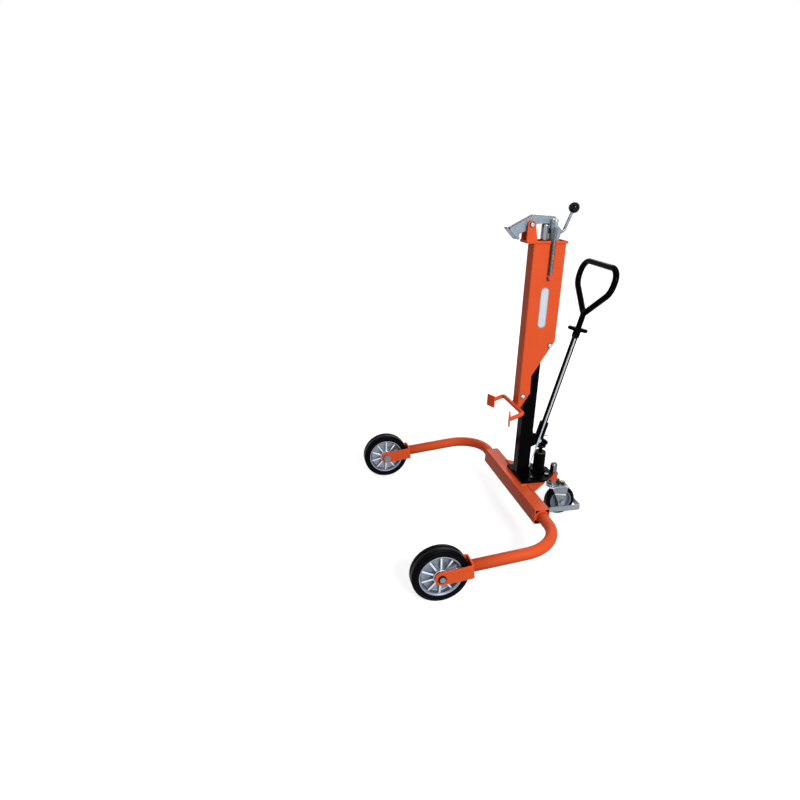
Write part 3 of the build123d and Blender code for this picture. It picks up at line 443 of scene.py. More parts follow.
def lathe(name, profile, origin, axis, mats, steps=96, closed=True):
    """Ring or disc turned from a profile of (along, radius) about an axis."""
    axis = Vector(axis).normalized()
    u = axis.orthogonal().normalized()
    v = axis.cross(u)
    verts, faces, n = [], [], len(profile)
    for s in range(steps):
        w = FULL_TURN * s / steps
        out = u * math.cos(w) + v * math.sin(w)
        verts += [Vector(origin) + axis * a + out * r for a, r in profile]
    last = n if closed else n - 1
    for s in range(steps):
        t = (s + 1) % steps
        for i in range(last):
            j = (i + 1) % n
            faces.append((s * n + i, s * n + j, t * n + j, t * n + i))
    return mesh_of(name, verts, faces, mats)


def smooth_profile(points, radii):
    """Closed (along, radius) profile with rounded corners."""
    pts = rounded([(a, r, 0) for a, r in points], radii, closed=True, steps=5)
    return [(p.x, p.y) for p in pts]


def centre(node):
    """Middle of a solid's box."""
    lo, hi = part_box(node)
    return (lo + hi) / 2


def ring_path(centre, axis, radius, steps=48):
    """Points on a circle about an axis."""
    axis = Vector(axis).normalized()
    u = axis.orthogonal().normalized()
    v = axis.cross(u)
    turns = [FULL_TURN * i / steps for i in range(steps)]
    return [Vector(centre) + (u * math.cos(w) + v * math.sin(w)) * radius for w in turns]


def mirror_x(path):
    """The same points on the truck's other side."""
    return [Vector((-p.x, p.y, p.z)) for p in path]


# Geometry Nodes

trees = {}
WIRE_SIDES = 10


def tree_of(name, inputs):
    """Empty geometry tree with named inputs."""
    t = bpy.data.node_groups.new(name, "GeometryNodeTree")
    t.interface.new_socket("Geometry", in_out="INPUT", socket_type="NodeSocketGeometry")
    for label, kind in inputs:
        t.interface.new_socket(label, in_out="INPUT", socket_type=kind)
    t.interface.new_socket("Geometry", in_out="OUTPUT", socket_type="NodeSocketGeometry")
    return t, add(t, "NodeGroupInput"), add(t, "NodeGroupOutput")


def end_tree(t, gin, gout, shape):
    """Last nodes of a tree: real geometry in its finish."""
    real = add(t, "GeometryNodeRealizeInstances", {"Geometry": shape})
    done = add(t, "GeometryNodeSetMaterial", {"Geometry": real.outputs[0], "Material": gin.outputs["Finish"]})
    t.links.new(done.outputs[0], gout.inputs[0])
    return t


def run_tree(obj, tree, values):
    """Runs a tree on an object with its inputs set, and leaves a plain mesh."""
    mod = obj.modifiers.new(tree.name, "NODES")
    mod.node_group = tree
    for item in tree.interface.items_tree:
        if item.in_out == "INPUT" and item.name in values:
            mod[item.identifier] = values[item.name]
    return applied(obj)


def weld_tree():
    """Bead along the object's edges: a round section that swells and shrinks with each ripple."""
    points_per_ripple, swelling = 4.0, 0.16
    t, gin, gout = tree_of("weld_bead", [
        ("Radius", "NodeSocketFloat"), ("Step", "NodeSocketFloat"), ("Finish", "NodeSocketMaterial")])
    curve = add(t, "GeometryNodeMeshToCurve", {"Mesh": gin.outputs["Geometry"]})
    fine = add(t, "ShaderNodeMath", {0: gin.outputs["Step"], 1: points_per_ripple}, operation="DIVIDE")
    even = add(t, "GeometryNodeResampleCurve", {
        "Curve": curve.outputs[0], "Length": fine.outputs[0]}, mode="LENGTH")
    along = add(t, "GeometryNodeSplineParameter")
    count = add(t, "ShaderNodeMath", {
        0: along.outputs["Length"], 1: gin.outputs["Step"]}, operation="DIVIDE")
    turn = add(t, "ShaderNodeMath", {0: count.outputs[0], 1: FULL_TURN}, operation="MULTIPLY")
    wave = add(t, "ShaderNodeMath", {0: turn.outputs[0]}, operation="SINE")
    swell = add(t, "ShaderNodeMath", {0: wave.outputs[0], 1: swelling, 2: 1.0}, operation="MULTIPLY_ADD")
    ring = add(t, "GeometryNodeCurvePrimitiveCircle", {
        "Resolution": WIRE_SIDES, "Radius": gin.outputs["Radius"]})
    bead = add(t, "GeometryNodeCurveToMesh", {
        "Curve": even.outputs[0], "Profile Curve": ring.outputs["Curve"], "Scale": swell.outputs[0],
        "Fill Caps": True})
    soft = add(t, "GeometryNodeSetShadeSmooth", {"Geometry": bead.outputs[0]})
    return end_tree(t, gin, gout, soft.outputs[0])


def repeat_tree():
    """One shape on every point of the object, turned to the way that the point names."""
    t, gin, gout = tree_of("repeat", [("Shape", "NodeSocketObject"), ("Finish", "NodeSocketMaterial")])
    shape = add(t, "GeometryNodeObjectInfo", {"Object": gin.outputs["Shape"]})
    way = add(t, "GeometryNodeInputNamedAttribute", {"Name": "way"}, data_type="FLOAT_VECTOR")
    turn = add(t, "FunctionNodeAlignRotationToVector", {"Vector": way.outputs[0]}, axis="Z")
    many = add(t, "GeometryNodeInstanceOnPoints", {
        "Points": gin.outputs["Geometry"], "Instance": shape.outputs["Geometry"],
        "Rotation": turn.outputs[0]})
    return end_tree(t, gin, gout, many.outputs[0])


def wire_tree():
    """Round wire along the object's edges."""
    t, gin, gout = tree_of("wire", [("Radius", "NodeSocketFloat"), ("Finish", "NodeSocketMaterial")])
    curve = add(t, "GeometryNodeMeshToCurve", {"Mesh": gin.outputs["Geometry"]})
    ring = add(t, "GeometryNodeCurvePrimitiveCircle", {
        "Resolution": WIRE_SIDES, "Radius": gin.outputs["Radius"]})
    wire = add(t, "GeometryNodeCurveToMesh", {
        "Curve": curve.outputs[0], "Profile Curve": ring.outputs["Curve"], "Fill Caps": True})
    soft = add(t, "GeometryNodeSetShadeSmooth", {"Geometry": wire.outputs[0]})
    return end_tree(t, gin, gout, soft.outputs[0])


def weld(name, body, slot, mat, paths, radius=None):
    """Weld beads along paths, as one piece."""
    sizes = bpy.context.scene.truck_sizes
    verts, edges = [], []
    for path, closed in paths:
        k = len(verts)
        verts += [tuple(p) for p in path]
        edges += [(k + i, k + i + 1) for i in range(len(path) - 1)]
        if closed:
            edges.append((k + len(path) - 1, k))
    mesh = bpy.data.meshes.new(name)
    mesh.from_pydata(verts, edges, [])
    obj = run_tree(made(name, mesh), trees["weld"], {
        "Radius": radius or sizes.weld, "Step": sizes.weld_step, "Finish": finish[mat]})
    return piece(obj, body, slot)


def repeated(name, shape, points, ways, body, slot, mat, *nodes):
    """Copies of a shape on points, as one piece."""
    mesh = bpy.data.meshes.new(name)
    mesh.from_pydata([tuple(p) for p in points], [], [])
    way = mesh.attributes.new("way", "FLOAT_VECTOR", "POINT")
    for i, w in enumerate(ways):
        way.data[i].vector = w
    maker = made(name + "_shape", shape)
    obj = run_tree(made(name, mesh), trees["repeat"], {"Shape": maker, "Finish": finish[mat]})
    bpy.data.objects.remove(maker)
    bpy.data.meshes.remove(shape)
    return piece(obj, body, slot, *nodes)


class TRUCK_OT_finishes(bpy.types.Operator):
    """Makes the materials and the geometry trees"""
    bl_idname = "truck.finishes"
    bl_label = "Finishes"

    def execute(self, context):
        c = context.scene.truck_colours
        self.paints(tuple(c.orange), tuple(c.black))
        self.metals(tuple(c.zinc), tuple(c.alloy))
        # Chrome plate on ground steel, on the ram: a clear grey mirror
        chrome("hard_chrome", linear("#8F959C"))
        # The same on cap nut and stem, darkened as a painted dark reflection and painted shade: a darker
        # mirror with one sharp light
        chrome("painted_dark_reflection_chrome", linear("#63676C"))
        # Moulded rubber of the tyres: almost black, with a soft light on the shoulders
        rubber("wheel_rubber", tuple(c.rubber))
        self.plastics()
        trees["weld"] = weld_tree()
        trees["repeat"] = repeat_tree()
        trees["wire"] = wire_tree()
        return {"FINISHED"}

    def paints(self, orange, black):
        """Sprayed enamel on faces, and the same worn thin on edges."""
        for name, colour, peel_mm, rough, gloss in (
                # Orange enamel on tube and sheet: one clean colour with a soft shine
                ("orange_enamel", orange, 2.6, 0.3, 0.03),
                # The same rubbed dull on the flange's top: a deep orange without shine
                ("satin_orange_enamel", orange, 2.6, 0.5, 0.0),
                # Black gloss enamel: no colour, only thin lights that show the form
                ("black_enamel", black, 2.2, 0.14, 0.015),
                # The same on level faces, dulled by dust: quiet black from above
                ("satin_black_enamel", black, 2.2, 0.4, 0.01)):
            enamel(name, colour, peel_mm, rough, gloss)
        # Thin orange enamel on cut edges: a lighter line with specks of primer
        worn_edge("orange_edge", orange, 0.06)
        # Thin black enamel on cut edges: a faint grey line that parts the faces
        worn_edge("black_edge", tone(black, 1.6), 0.05)

    def metals(self, zinc, alloy):
        """Plated, cast, forged and bright metal."""
        for name, colour, low, high, patch_mm, grain_mm, depth_mm, spread, metal in (
                # Galvanised flat bar: even cool grey with slow clouds
                ("zinc_plate", zinc, 0.36, 0.5, 14.0, 0.9, 0.05, 0.1, 0.8),
                # Zinc on the caster's fork: darker and blotchy, with a coarse skin
                ("cast_zinc", tone(zinc, 0.78), 0.36, 0.5, 10.0, 1.1, 0.12, 0.2, 0.8),
                # Forged steel, blasted and plated: pale matt grey
                ("forged_steel", linear("#75818B"), 0.4, 0.52, 16.0, 1.0, 0.05, 0.08, 0.7),
                # Painted shade on the beak's high top faces and forward faces: darker than the forged steel,
                # brownish and dull
                ("painted_shade_forging", linear("#39352F"), 0.5, 0.66, 9.0, 1.0, 0.1, 0.16, 0.6),
                # Zinc on cut and turned pieces: middle grey with a soft shine
                ("dull_zinc", linear("#7A848D"), 0.36, 0.48, 12.0, 0.9, 0.04, 0.1, 0.8),
                # Painted highlight on the fork's head plates and high outer faces: nearly white lines
                ("painted_highlight_zinc", linear("#DDE2E6"), 0.3, 0.4, 10.0, 0.9, 0.03, 0.05, 0.6),
                # Polished steel of the lever: dark grey with one bright line along it
                ("polished_steel", linear("#6C747C"), 0.24, 0.32, 9.0, 0.6, 0.02, 0.06, 1.0),
                # Bright drawn steel of pins, rods and screws: clear grey with sharp lights
                ("bright_steel", linear("#AEB5BC"), 0.22, 0.34, 8.0, 0.5, 0.03, 0.08, 1.0),
                # Drawn and oiled spring wire: a short light on every coil
                ("spring_steel", linear("#70777E"), 0.26, 0.38, 6.0, 0.5, 0.02, 0.1, 1.0),
                # Burnished and blackened steel, also painted shade: the dark rings round screw heads, the
                # pin's ends and the axles' ends stand for shade
                ("dark_steel_and_painted_shade", linear("#25272A"), 0.16, 0.26, 8.0, 0.6, 0.02, 0.12, 1.0),
                # Mill scale inside the tubes, never painted, darkened further as painted shade: nearly black,
                # no shine
                ("mill_scale_and_painted_shade", linear("#191513"), 0.55, 0.75, 12.0, 1.2, 0.1, 0.2, 0.3),
                # Die-cast aluminium of the hubs: satin blue-grey
                ("cast_aluminium", alloy, 0.36, 0.46, 22.0, 0.9, 0.05, 0.07, 0.9),
                # Cast aluminium painted near white on rib tops and boss edge: painted highlight, white
                # against the casting
                ("painted_highlight_aluminium", linear("#D2D7DE"), 0.26, 0.36, 12.0, 0.5, 0.02, 0.05, 0.9),
                # Yellow-passivated zinc of lug and nut: olive with a gold light
                ("olive_passivate", linear("#565026"), 0.26, 0.4, 7.0, 0.6, 0.04, 0.18, 1.0),
                # Oiled bronze of the pump's cap: a dark ring with a yellow light
                ("oiled_bronze", linear("#453F28"), 0.24, 0.36, 7.0, 0.6, 0.04, 0.2, 1.0)):
            plated(name, colour, low, high, patch_mm, grain_mm, depth_mm, spread, metal)

    def plastics(self):
        """Moulded plastic and plain film."""
        for name, code, low, high, grain_mm, gloss in (
                # Cast nylon of the slide blocks: matt ivory
                ("slide_nylon", "#CFCBBF", 0.45, 0.6, 0.7, 0.5),
                # Polished phenolic ball: black with one small clear light
                ("ball_phenolic", "#050506", 0.06, 0.1, 3.0, 0.12),
                # Moulded polyamide of the caster's hub: matt blue-grey
                ("grey_polyamide", "#67737F", 0.42, 0.58, 0.8, 0.5),
                # Polyester film on the bare plate: satin white, and grey on its raised border
                ("white_polyester", "#D3D8DF", 0.34, 0.46, 0.8, 0.5),
                ("grey_polyester", "#98A2B3", 0.34, 0.46, 0.8, 0.5)):
            plastic(name, linear(code), low, high, grain_mm, gloss)


class TRUCK_OT_chassis(bpy.types.Operator):
    """Cross tube, bent legs, wheel forks, tongue and base plate"""
    bl_idname = "truck.chassis"
    bl_label = "Chassis"

    def execute(self, context):
        s = context.scene.truck_sizes
        mid = centre("cross_tube")
        tube_end = Vector((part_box("cross_tube")[1].x, mid.y, mid.z))
        self.plates(mid)
        foot, slope = self.legs(s, tube_end)
        beads = []
        for ring in (ring_path(foot, slope, s.leg / 2), ring_path(tube_end, (1, 0, 0), s.leg / 2)):
            beads += [(ring, True), (mirror_x(ring), True)]
        beads += self.bush_beads(tube_end) + self.plate_beads(mid)
        weld("chassis_welds", "chassis", "orange", "orange_enamel", beads)
        return {"FINISHED"}

    def plates(self, mid):
        """Painted tubes and plates. The tubes are bare inside, and darkened there as painted shade."""
        for n in ("tongue_plate", "caster_sleeve"):
            dressed(n, "orange_enamel", worn="orange_edge")
        inside = 26.6 * MM
        tube_skin = dressed("cross_tube", "orange_enamel", worn="orange_edge")
        # Faces inside the tube's bore and round the bushes are nearly black: bare steel with painted shade
        recolour(tube_skin, "mill_scale_and_painted_shade", lambda c, n: abs(n.x) < END_FACE
                 and max(abs(c.y - mid.y), abs(c.z - mid.z)) < inside)
        bushes = dressed("leg_bushes", "orange_enamel", worn="orange_edge")
        recolour(bushes, "mill_scale_and_painted_shade", lambda c, n: abs(n.x) < END_FACE)
        for n in ("fork_left", "fork_right"):
            dressed(n, "orange_enamel", edge=1.0 * MM, worn="orange_edge", steps=3)
        dressed("base_plate", "satin_black_enamel", edge=1.2 * MM, worn="black_edge")
        bolts = dressed("base_bolts", "satin_black_enamel", edge=0.6 * MM, worn="black_edge")
        # Only the bolts' top faces are bare dark steel, so that they catch small lights: painted highlight
        recolour(bolts, "dark_steel_and_painted_shade", lambda c, n: n.z > TOP_FACE)

    def legs(self, s, tube_end):
        """Bent legs. Gives the left one's foot, at the back of its fork, and the way that it points there."""
        in_tube, fork_length = 58 * MM, 113 * MM
        hub = centre("hub_left")
        elbow = Vector((hub.x, tube_end.y, tube_end.z))
        slope = (hub - elbow).normalized()
        foot = elbow + slope * ((hub - elbow).length - fork_length)
        path = rounded([(tube_end.x - in_tube, *tube_end.yz), elbow, foot], [0, s.leg_bend, 0], steps=48)
        for side, way in (("left", path), ("right", mirror_x(path))):
            name = "leg_" + side + "_skin"
            mesh = tube(name, way, s.leg / 2, [finish["orange_enamel"]], sides=48)
            piece(made(name, mesh), "chassis", "orange", "leg_" + side)
        return foot, slope

    def bush_beads(self, tube_end):
        """Short beads where each round bush meets the four flats of the square tube."""
        bush, half_bead = 26 * MM, 12 * MM
        ring = ring_path(tube_end, (1, 0, 0), bush, steps=72)
        beads = []
        for flat in ((0, bush, 0), (0, -bush, 0), (0, 0, bush), (0, 0, -bush)):
            side = tube_end + Vector(flat)
            pad = [p for p in ring if (p - side).length < half_bead]
            pad.sort(key=lambda p: p.dot(Vector((0, flat[2], flat[1]))))
            beads += [(pad, False), (mirror_x(pad), False)]
        return beads

    def plate_beads(self, mid):
        """Beads along the stepped front of the base plate and round the caster's sleeve."""
        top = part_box("cross_tube")[1].z
        lap = mid.y + 18 * MM
        plate_lo, plate_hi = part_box("base_plate")
        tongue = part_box("tongue_plate")[1].x
        half = [
            Vector((plate_hi.x, plate_lo.y, top)), Vector((plate_hi.x, lap, top)), Vector((tongue, lap, top))]
        front = mirror_x(reversed(half)) + half
        sleeve = centre("caster_sleeve")
        ring = ring_path((sleeve.x, sleeve.y, top), (0, 0, 1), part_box("caster_sleeve")[1].x)
        return [(front, False), (ring, True)]


class TRUCK_OT_wheels(bpy.types.Operator):
    """Front wheels: tyres, ribbed hubs, bearings and axles"""
    bl_idname = "truck.wheels"
    bl_label = "Front wheels"

    def execute(self, context):
        for side in ("left", "right"):
            self.tyre(side)
            self.hub(side)
            kept("bright_steel", "bearings_" + side)
        self.axles()
        return {"FINISHED"}

    def tyre(self, side):
        """Tyre with a ring groove in each wall, round shoulders and a fine line round the tread."""
        lo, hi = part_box("tyre_" + side)
        r, w = (hi.z - lo.z) / 2, (hi.x - lo.x) / 2
        rim, seat = 76 * MM, 23 * MM
        # Half the section from rim to tread: distance from the middle, radius, and rounding in millimetres
        half = [
            (seat, rim, 0), (seat + 1.2 * MM, rim + 1.5 * MM, 0.8), (w, rim + 6 * MM, 2.5),
            (w, rim + 12.5 * MM, 2.0), (w - 1.6 * MM, rim + 14.5 * MM, 0.6),
            (w - 3.2 * MM, rim + 14.7 * MM, 0.6), (w - 4.0 * MM, rim + 16.8 * MM, 0.7),
            (w - 3.4 * MM, rim + 19.2 * MM, 1.5), (w - 6.5 * MM, r - 0.4 * MM, 3), (w - 12 * MM, r, 6),
            (1.4 * MM, r, 0), (0.7 * MM, r - 0.5 * MM, 0)]
        full = half + [(-a, b, c) for a, b, c in reversed(half)]
        profile = smooth_profile([(a, b) for a, b, _ in full], [c * MM for _, _, c in full])
        name = "tyre_" + side + "_skin"
        mesh = lathe(name, profile, (lo + hi) / 2, (1, 0, 0), [finish["wheel_rubber"]], steps=128)
        piece(made(name, mesh), "wheel_" + side, "tyre", "tyre_" + side)

    def hub(self, side):
        """Die-cast hub whose rib tops and boss edge are painted near white: painted highlight."""
        mid = centre("tyre_" + side)
        skin = dressed("hub_" + side, "cast_aluminium", angle=40)
        web, boss, rim, level = 12 * MM, 26 * MM, 71 * MM, 0.7

        def turned(c, n):
            radius = math.hypot(c.y - mid.y, c.z - mid.z)
            return abs(c.x - mid.x) > web and abs(n.x) > level and boss < radius < rim

        # Outward faces of rib tops and boss edge get the near white finish: painted highlight
        recolour(skin, "painted_highlight_aluminium", turned)

    def axles(self):
        """Axles with a grey end in a dark collar outside, the collar darkened as painted shade, and a plated
        nut inside.
        """
        skin = dressed("front_axles", "dull_zinc", edge=0.7 * MM)
        half_fork, tip = 30 * MM, 2.2 * MM
        inner, end = centre("hub_left").x + half_fork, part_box("front_axles")[1].x - tip
        # The collar between fork and end is dark steel: painted shade round the grey end
        recolour(skin, "dark_steel_and_painted_shade", lambda c, n: inner < abs(c.x) < end)


class TRUCK_OT_caster(bpy.types.Operator):
    """Rear caster with its fork, guard bar, lug, wheel and cap nut"""
    bl_idname = "truck.caster"
    bl_label = "Caster"

    def execute(self, context):
        fork = dressed("caster_fork", "cast_zinc", least=2.5 * MM)
        gap, ridge, upright, arm = 2 * MM, 2.3 * MM, 0.4, 0.7
        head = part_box("caster_tyre")[1].z + gap
        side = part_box("caster_fork")[1].x - ridge
        # Upright faces above the tyre and high outer faces of the fork are painted nearly white: painted
        # highlight
        recolour(fork, "painted_highlight_zinc", lambda c, n: (c.z > head and abs(n.z) < upright)
                 or (c.z > arm * head and abs(c.x) > side))
        for n, mat, edge_mm in (
                ("caster_guard", "zinc_plate", 0.9), ("swivel_lug", "olive_passivate", 0.7),
                # Cap nut and stem take the darkened chrome: painted dark reflection
                ("caster_stem", "painted_dark_reflection_chrome", 0.6), ("caster_axle", "zinc_plate", 0.6),
                ("caster_tyre", "wheel_rubber", 0.6), ("caster_hub", "grey_polyamide", 0.6),
                ("cap_nut", "painted_dark_reflection_chrome", 0.6)):
            dressed(n, mat, edge=edge_mm * MM)
        return {"FINISHED"}


class TRUCK_OT_mast(bpy.types.Operator):
    """Mast with the weld round its foot, lifting cylinder and ram"""
    bl_idname = "truck.mast"
    bl_label = "Mast"

    def execute(self, context):
        dressed("mast", "black_enamel", edge=1.0 * MM, worn="black_edge")
        kept("bright_steel", "lift_cylinder")
        kept("hard_chrome", "ram")
        lo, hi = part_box("mast")
        corner = 4 * MM
        foot = rounded([(lo.x, lo.y, lo.z), (hi.x, lo.y, lo.z), (hi.x, hi.y, lo.z), (lo.x, hi.y, lo.z)],
                       [corner] * 4, closed=True, steps=4)
        weld("mast_welds", "chassis", "black", "black_enamel", [(foot, True)])
        return {"FINISHED"}


class TRUCK_OT_carriage(bpy.types.Operator):
    """Lifting carriage with flange, ears, cradle, screws and bare plate"""
    bl_idname = "truck.carriage"
    bl_label = "Carriage"

    def execute(self, context):
        for n in ("ears", "cradle", "spring_post"):
            dressed(n, "orange_enamel", worn="orange_edge")
        flange = dressed("top_flange", "orange_enamel", worn="orange_edge")
        recolour(flange, "satin_orange_enamel", lambda c, n: n.z > TOP_FACE)
        dressed("carriage_shell", "orange_enamel", worn="orange_edge", least=2.5 * MM)
        kept("slide_nylon", "slide_block_upper", "slide_block_lower")
        pin_end = 0.9
        # The pin is dark all round its bright end faces: painted shade ring
        pin = dressed("beak_pin", "dark_steel_and_painted_shade", edge=0.6 * MM)
        recolour(pin, "bright_steel", lambda c, n: abs(n.x) > pin_end)
        self.plate()
        self.screws(context.scene.truck_sizes)
        self.welds()
        return {"FINISHED"}

    def welds(self):
        """Beads under the flange, beside the ears, and above and below the cradle's bar."""
        short, bend = 3 * MM, 6 * MM
        flange_lo, flange_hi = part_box("top_flange")
        lo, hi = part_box("carriage_shell")
        under, back = flange_lo.z, hi.y - short
        corners = [(hi.x, back, under), (hi.x, lo.y, under), (lo.x, lo.y, under), (lo.x, back, under)]
        beads = [(rounded(corners, [0, bend, bend, 0], steps=4), False)]
        ear_lo, ear_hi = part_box("ears")
        ear_inside, first, last = 18 * MM, ear_lo.y + 1 * MM, ear_lo.y + 40 * MM
        for x in (ear_inside, ear_hi.x):
            line = [Vector((x, first, flange_hi.z)), Vector((x, last, flange_hi.z))]
            beads += [(line, False), (mirror_x(line), False)]
        bar, bar_radius, half_bead = lo.z + 3 * MM, 6 * MM, 25 * MM
        for z in (bar - bar_radius, bar + bar_radius):
            beads.append(([Vector((-half_bead, lo.y, z)), Vector((half_bead, lo.y, z))], False))
        weld("carriage_welds", "carriage", "orange", "orange_enamel", beads, radius=2.0 * MM)

    def screws(self, s):
        """Domed screws with a round socket, each on a dark washer that stands for the shade round its head,
        two in each side plate.
        """
        lo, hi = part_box("block_screws")
        r, rise, washer, washer_r = s.screw / 2, 5.5 * MM, 1.2 * MM, s.washer / 2
        lip, socket, depth, chamfer = 3.4 * MM, 3 * MM, 3 * MM, 0.4 * MM
        shank, length, hole = 5 * MM, 18 * MM, 5.4 * MM
        skirt, shoulder, dome_steps = washer * 0.5, washer * 0.7, 8
        face = hi.x - rise
        spots = [(hi.y - r, hi.z - r), (lo.y + r, lo.z + r)]
        points = [(side * face, y, z) for side in (1, -1) for y, z in spots]
        ways = [(side, 0, 0) for side in (1, -1) for _ in spots]
        slopes = [math.pi / 2 * i / dome_steps for i in range(dome_steps + 1)]
        dome = [(washer + (rise - washer) * math.sin(w), lip + (r - lip) * math.cos(w)) for w in slopes]
        head = [(-length, 0), (-length, shank), (skirt, shank), (skirt, r)] + dome
        head += [(rise - chamfer, socket), (rise - depth, socket), (rise - depth, 0)]
        ring = [(0, hole), (0, washer_r), (shoulder, washer_r), (washer, washer_r - chamfer), (washer, hole)]
        zero, up = (0, 0, 0), (0, 0, 1)
        slot = SLOT["block_screws"]
        repeated("block_screw_heads", lathe("screw", head, zero, up, [], steps=24, closed=False),
                 points, ways, "carriage", slot, "bright_steel", "block_screws")
        # Dark washers round each head: painted shade
        repeated("block_screw_washers", lathe("washer", ring, zero, up, [], steps=32),
                 points, ways, "carriage", slot, "dark_steel_and_painted_shade")

    def plate(self):
        """Long plate with round ends and a raised border, left bare."""
        lo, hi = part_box("label_plate")
        mid, thick = (lo + hi) / 2, hi.x - lo.x
        r = (hi.y - lo.y) / 2
        run = (hi.z - lo.z) / 2 - r
        sides, chamfer, border, step = 64, 0.4 * MM, 2.6 * MM, 3.0 * MM
        wall, face = lo.x + 0.7 * thick, lo.x + 0.6 * thick

        def loop(inset, x):
            pts = []
            for i in range(sides):
                w = FULL_TURN * i / sides
                end = mid.z + (run if i < sides // 2 else -run)
                pts.append((x, mid.y + (r - inset) * math.cos(w), end + (r - inset) * math.sin(w)))
            return pts

        top = lo.x + thick
        rings = [loop(0, lo.x), loop(0, wall), loop(chamfer, top), loop(border, top), loop(step, face)]
        verts = [p for ring in rings for p in ring]
        faces = []
        for k in range(len(rings) - 1):
            a, b = k * sides, (k + 1) * sides
            for i in range(sides):
                j = (i + 1) % sides
                faces.append((a + i, a + j, b + j, b + i))
        faces += [tuple(range(sides)), tuple(range(len(verts) - sides, len(verts)))]
        mats = [finish["grey_polyester"], finish["white_polyester"]]
        mesh = mesh_of("label_plate_skin", verts, faces, mats, smooth=False)
        for p in mesh.polygons:
            if len(p.vertices) == sides and p.center.x > mid.x:
                p.material_index = 1
        piece(made("label_plate_skin", mesh), "carriage", "label", "label_plate")


class TRUCK_OT_beak(bpy.types.Operator):
    """Beak, latch link, lever and ball"""
    bl_idname = "truck.beak"
    bl_label = "Beak and latch"

    def execute(self, context):
        beak = dressed("beak", "forged_steel", edge=context.scene.truck_sizes.cast_edge, steps=3)
        ridge, upward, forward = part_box("beak")[0].z + 30 * MM, 0.6, 0.75
        # High top faces and forward faces of the beak are painted darker: painted shade
        recolour(beak, "painted_shade_forging", lambda c, n: (n.z > upward and c.z > ridge) or n.y < -forward)
        dressed("link_plates", "dull_zinc", edge=0.7 * MM)
        dressed("lever_hub", "dull_zinc", edge=1.0 * MM)
        dressed("tail_bolt", "bright_steel", edge=0.7 * MM)
        kept("polished_steel", "lever")
        self.ball()
        return {"FINISHED"}

    def ball(self):
        """Ball on the lever's end, cut flat where the lever goes in."""
        lo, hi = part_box("ball_knob")
        mid, r = (lo + hi) / 2, (hi.z - lo.z) / 2
        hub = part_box("lever_hub")[1]
        lever_bend = Vector((0, hub.y + 12 * MM, hub.z - 11 * MM))
        cut, depth, chamfer, steps = 6.2 * MM, 4 * MM, 0.7 * MM, 40
        low = -math.sqrt(r * r - cut * cut)
        profile = [(low + depth, 0), (low + depth, cut - chamfer), (low, cut)]
        start = math.atan2(cut, low)
        for i in range(1, steps + 1):
            w = start * (1 - i / steps)
            profile.append((r * math.cos(w), r * math.sin(w)))
        mats = [finish["ball_phenolic"]]
        mesh = lathe("ball_knob_skin", profile, mid, mid - lever_bend, mats, steps=64, closed=False)
        piece(made("ball_knob_skin", mesh), "latch", "knob", "ball_knob")


class TRUCK_OT_spring(bpy.types.Operator):
    """Long coil spring between tail bolt and post"""
    bl_idname = "truck.spring"
    bl_label = "Spring"

    def execute(self, context):
        s = context.scene.truck_sizes
        r = (s.coil - s.wire) / 2
        bolt, post = centre("tail_bolt"), centre("spring_post")
        axis = Vector((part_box("beak_spring")[1].x - s.coil / 2, post.y, 0))
        post_ring, bolt_ring = 6.6 * MM, 7.3 * MM
        low, high = post.z + 13 * MM, bolt.z - 21 * MM
        path = self.hook(axis, post.z, post_ring, -1)
        path.reverse()
        per_turn = 20
        steps = per_turn * s.turns
        for i in range(steps + 1):
            w = FULL_TURN * i / per_turn - math.pi / 2
            path.append(axis + Vector((r * math.cos(w), r * math.sin(w), low + (high - low) * i / steps)))
        path += self.hook(axis, bolt.z, bolt_ring, 1)
        mesh = bpy.data.meshes.new("beak_spring_skin")
        mesh.from_pydata([tuple(p) for p in path], [(i, i + 1) for i in range(len(path) - 1)], [])
        obj = made("beak_spring_skin", mesh)
        run_tree(obj, trees["wire"], {"Radius": s.wire / 2, "Finish": finish["spring_steel"]})
        piece(obj, "carriage", SLOT["beak_spring"], "beak_spring")
        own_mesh(obj)
        return {"FINISHED"}

    def hook(self, axis, z, r, up):
        """Open ring round a pin, entered from the coils."""
        turn, steps = math.radians(250), 24
        angles = [turn * i / steps for i in range(steps + 1)]
        return [Vector((axis.x, axis.y - r * math.cos(w), z + up * r * math.sin(w))) for w in angles]


class TRUCK_OT_handle(bpy.types.Operator):
    """Pump handle with its loop, shaft, socket, release collar and rods"""
    bl_idname = "truck.handle"
    bl_label = "Handle"

    def execute(self, context):
        dressed("handle_socket", "black_enamel", edge=0.8 * MM, worn="black_edge")
        dressed("handle_bracket", "black_enamel", edge=0.9 * MM, worn="black_edge")
        dressed("release_collar", "black_enamel", edge=0.6 * MM, worn="black_edge", angle=60)
        dressed("handle_shaft", "black_enamel", edge=0.5 * MM)
        kept("black_enamel", "handle_loop")
        kept("bright_steel", "handle_pin", "socket_pin", "valve_rod")
        dressed("release_rod", "bright_steel", edge=0.5 * MM)
        return {"FINISHED"}


class TRUCK_OT_pump(bpy.types.Operator):
    """Hand pump, plunger and valve body"""
    bl_idname = "truck.pump"
    bl_label = "Pump"

    def execute(self, context):
        dressed("pump_body", "black_enamel", edge=0.8 * MM, worn="black_edge")
        dressed("valve_body", "black_enamel", edge=0.8 * MM, worn="black_edge")
        cap = dressed("pump_cap", "oiled_bronze", edge=0.7 * MM)
        recolour(cap, "satin_black_enamel", lambda c, n: n.z > TOP_FACE)
        dressed("plunger", "black_enamel", edge=0.8 * MM, worn="oiled_bronze")
        return {"FINISHED"}


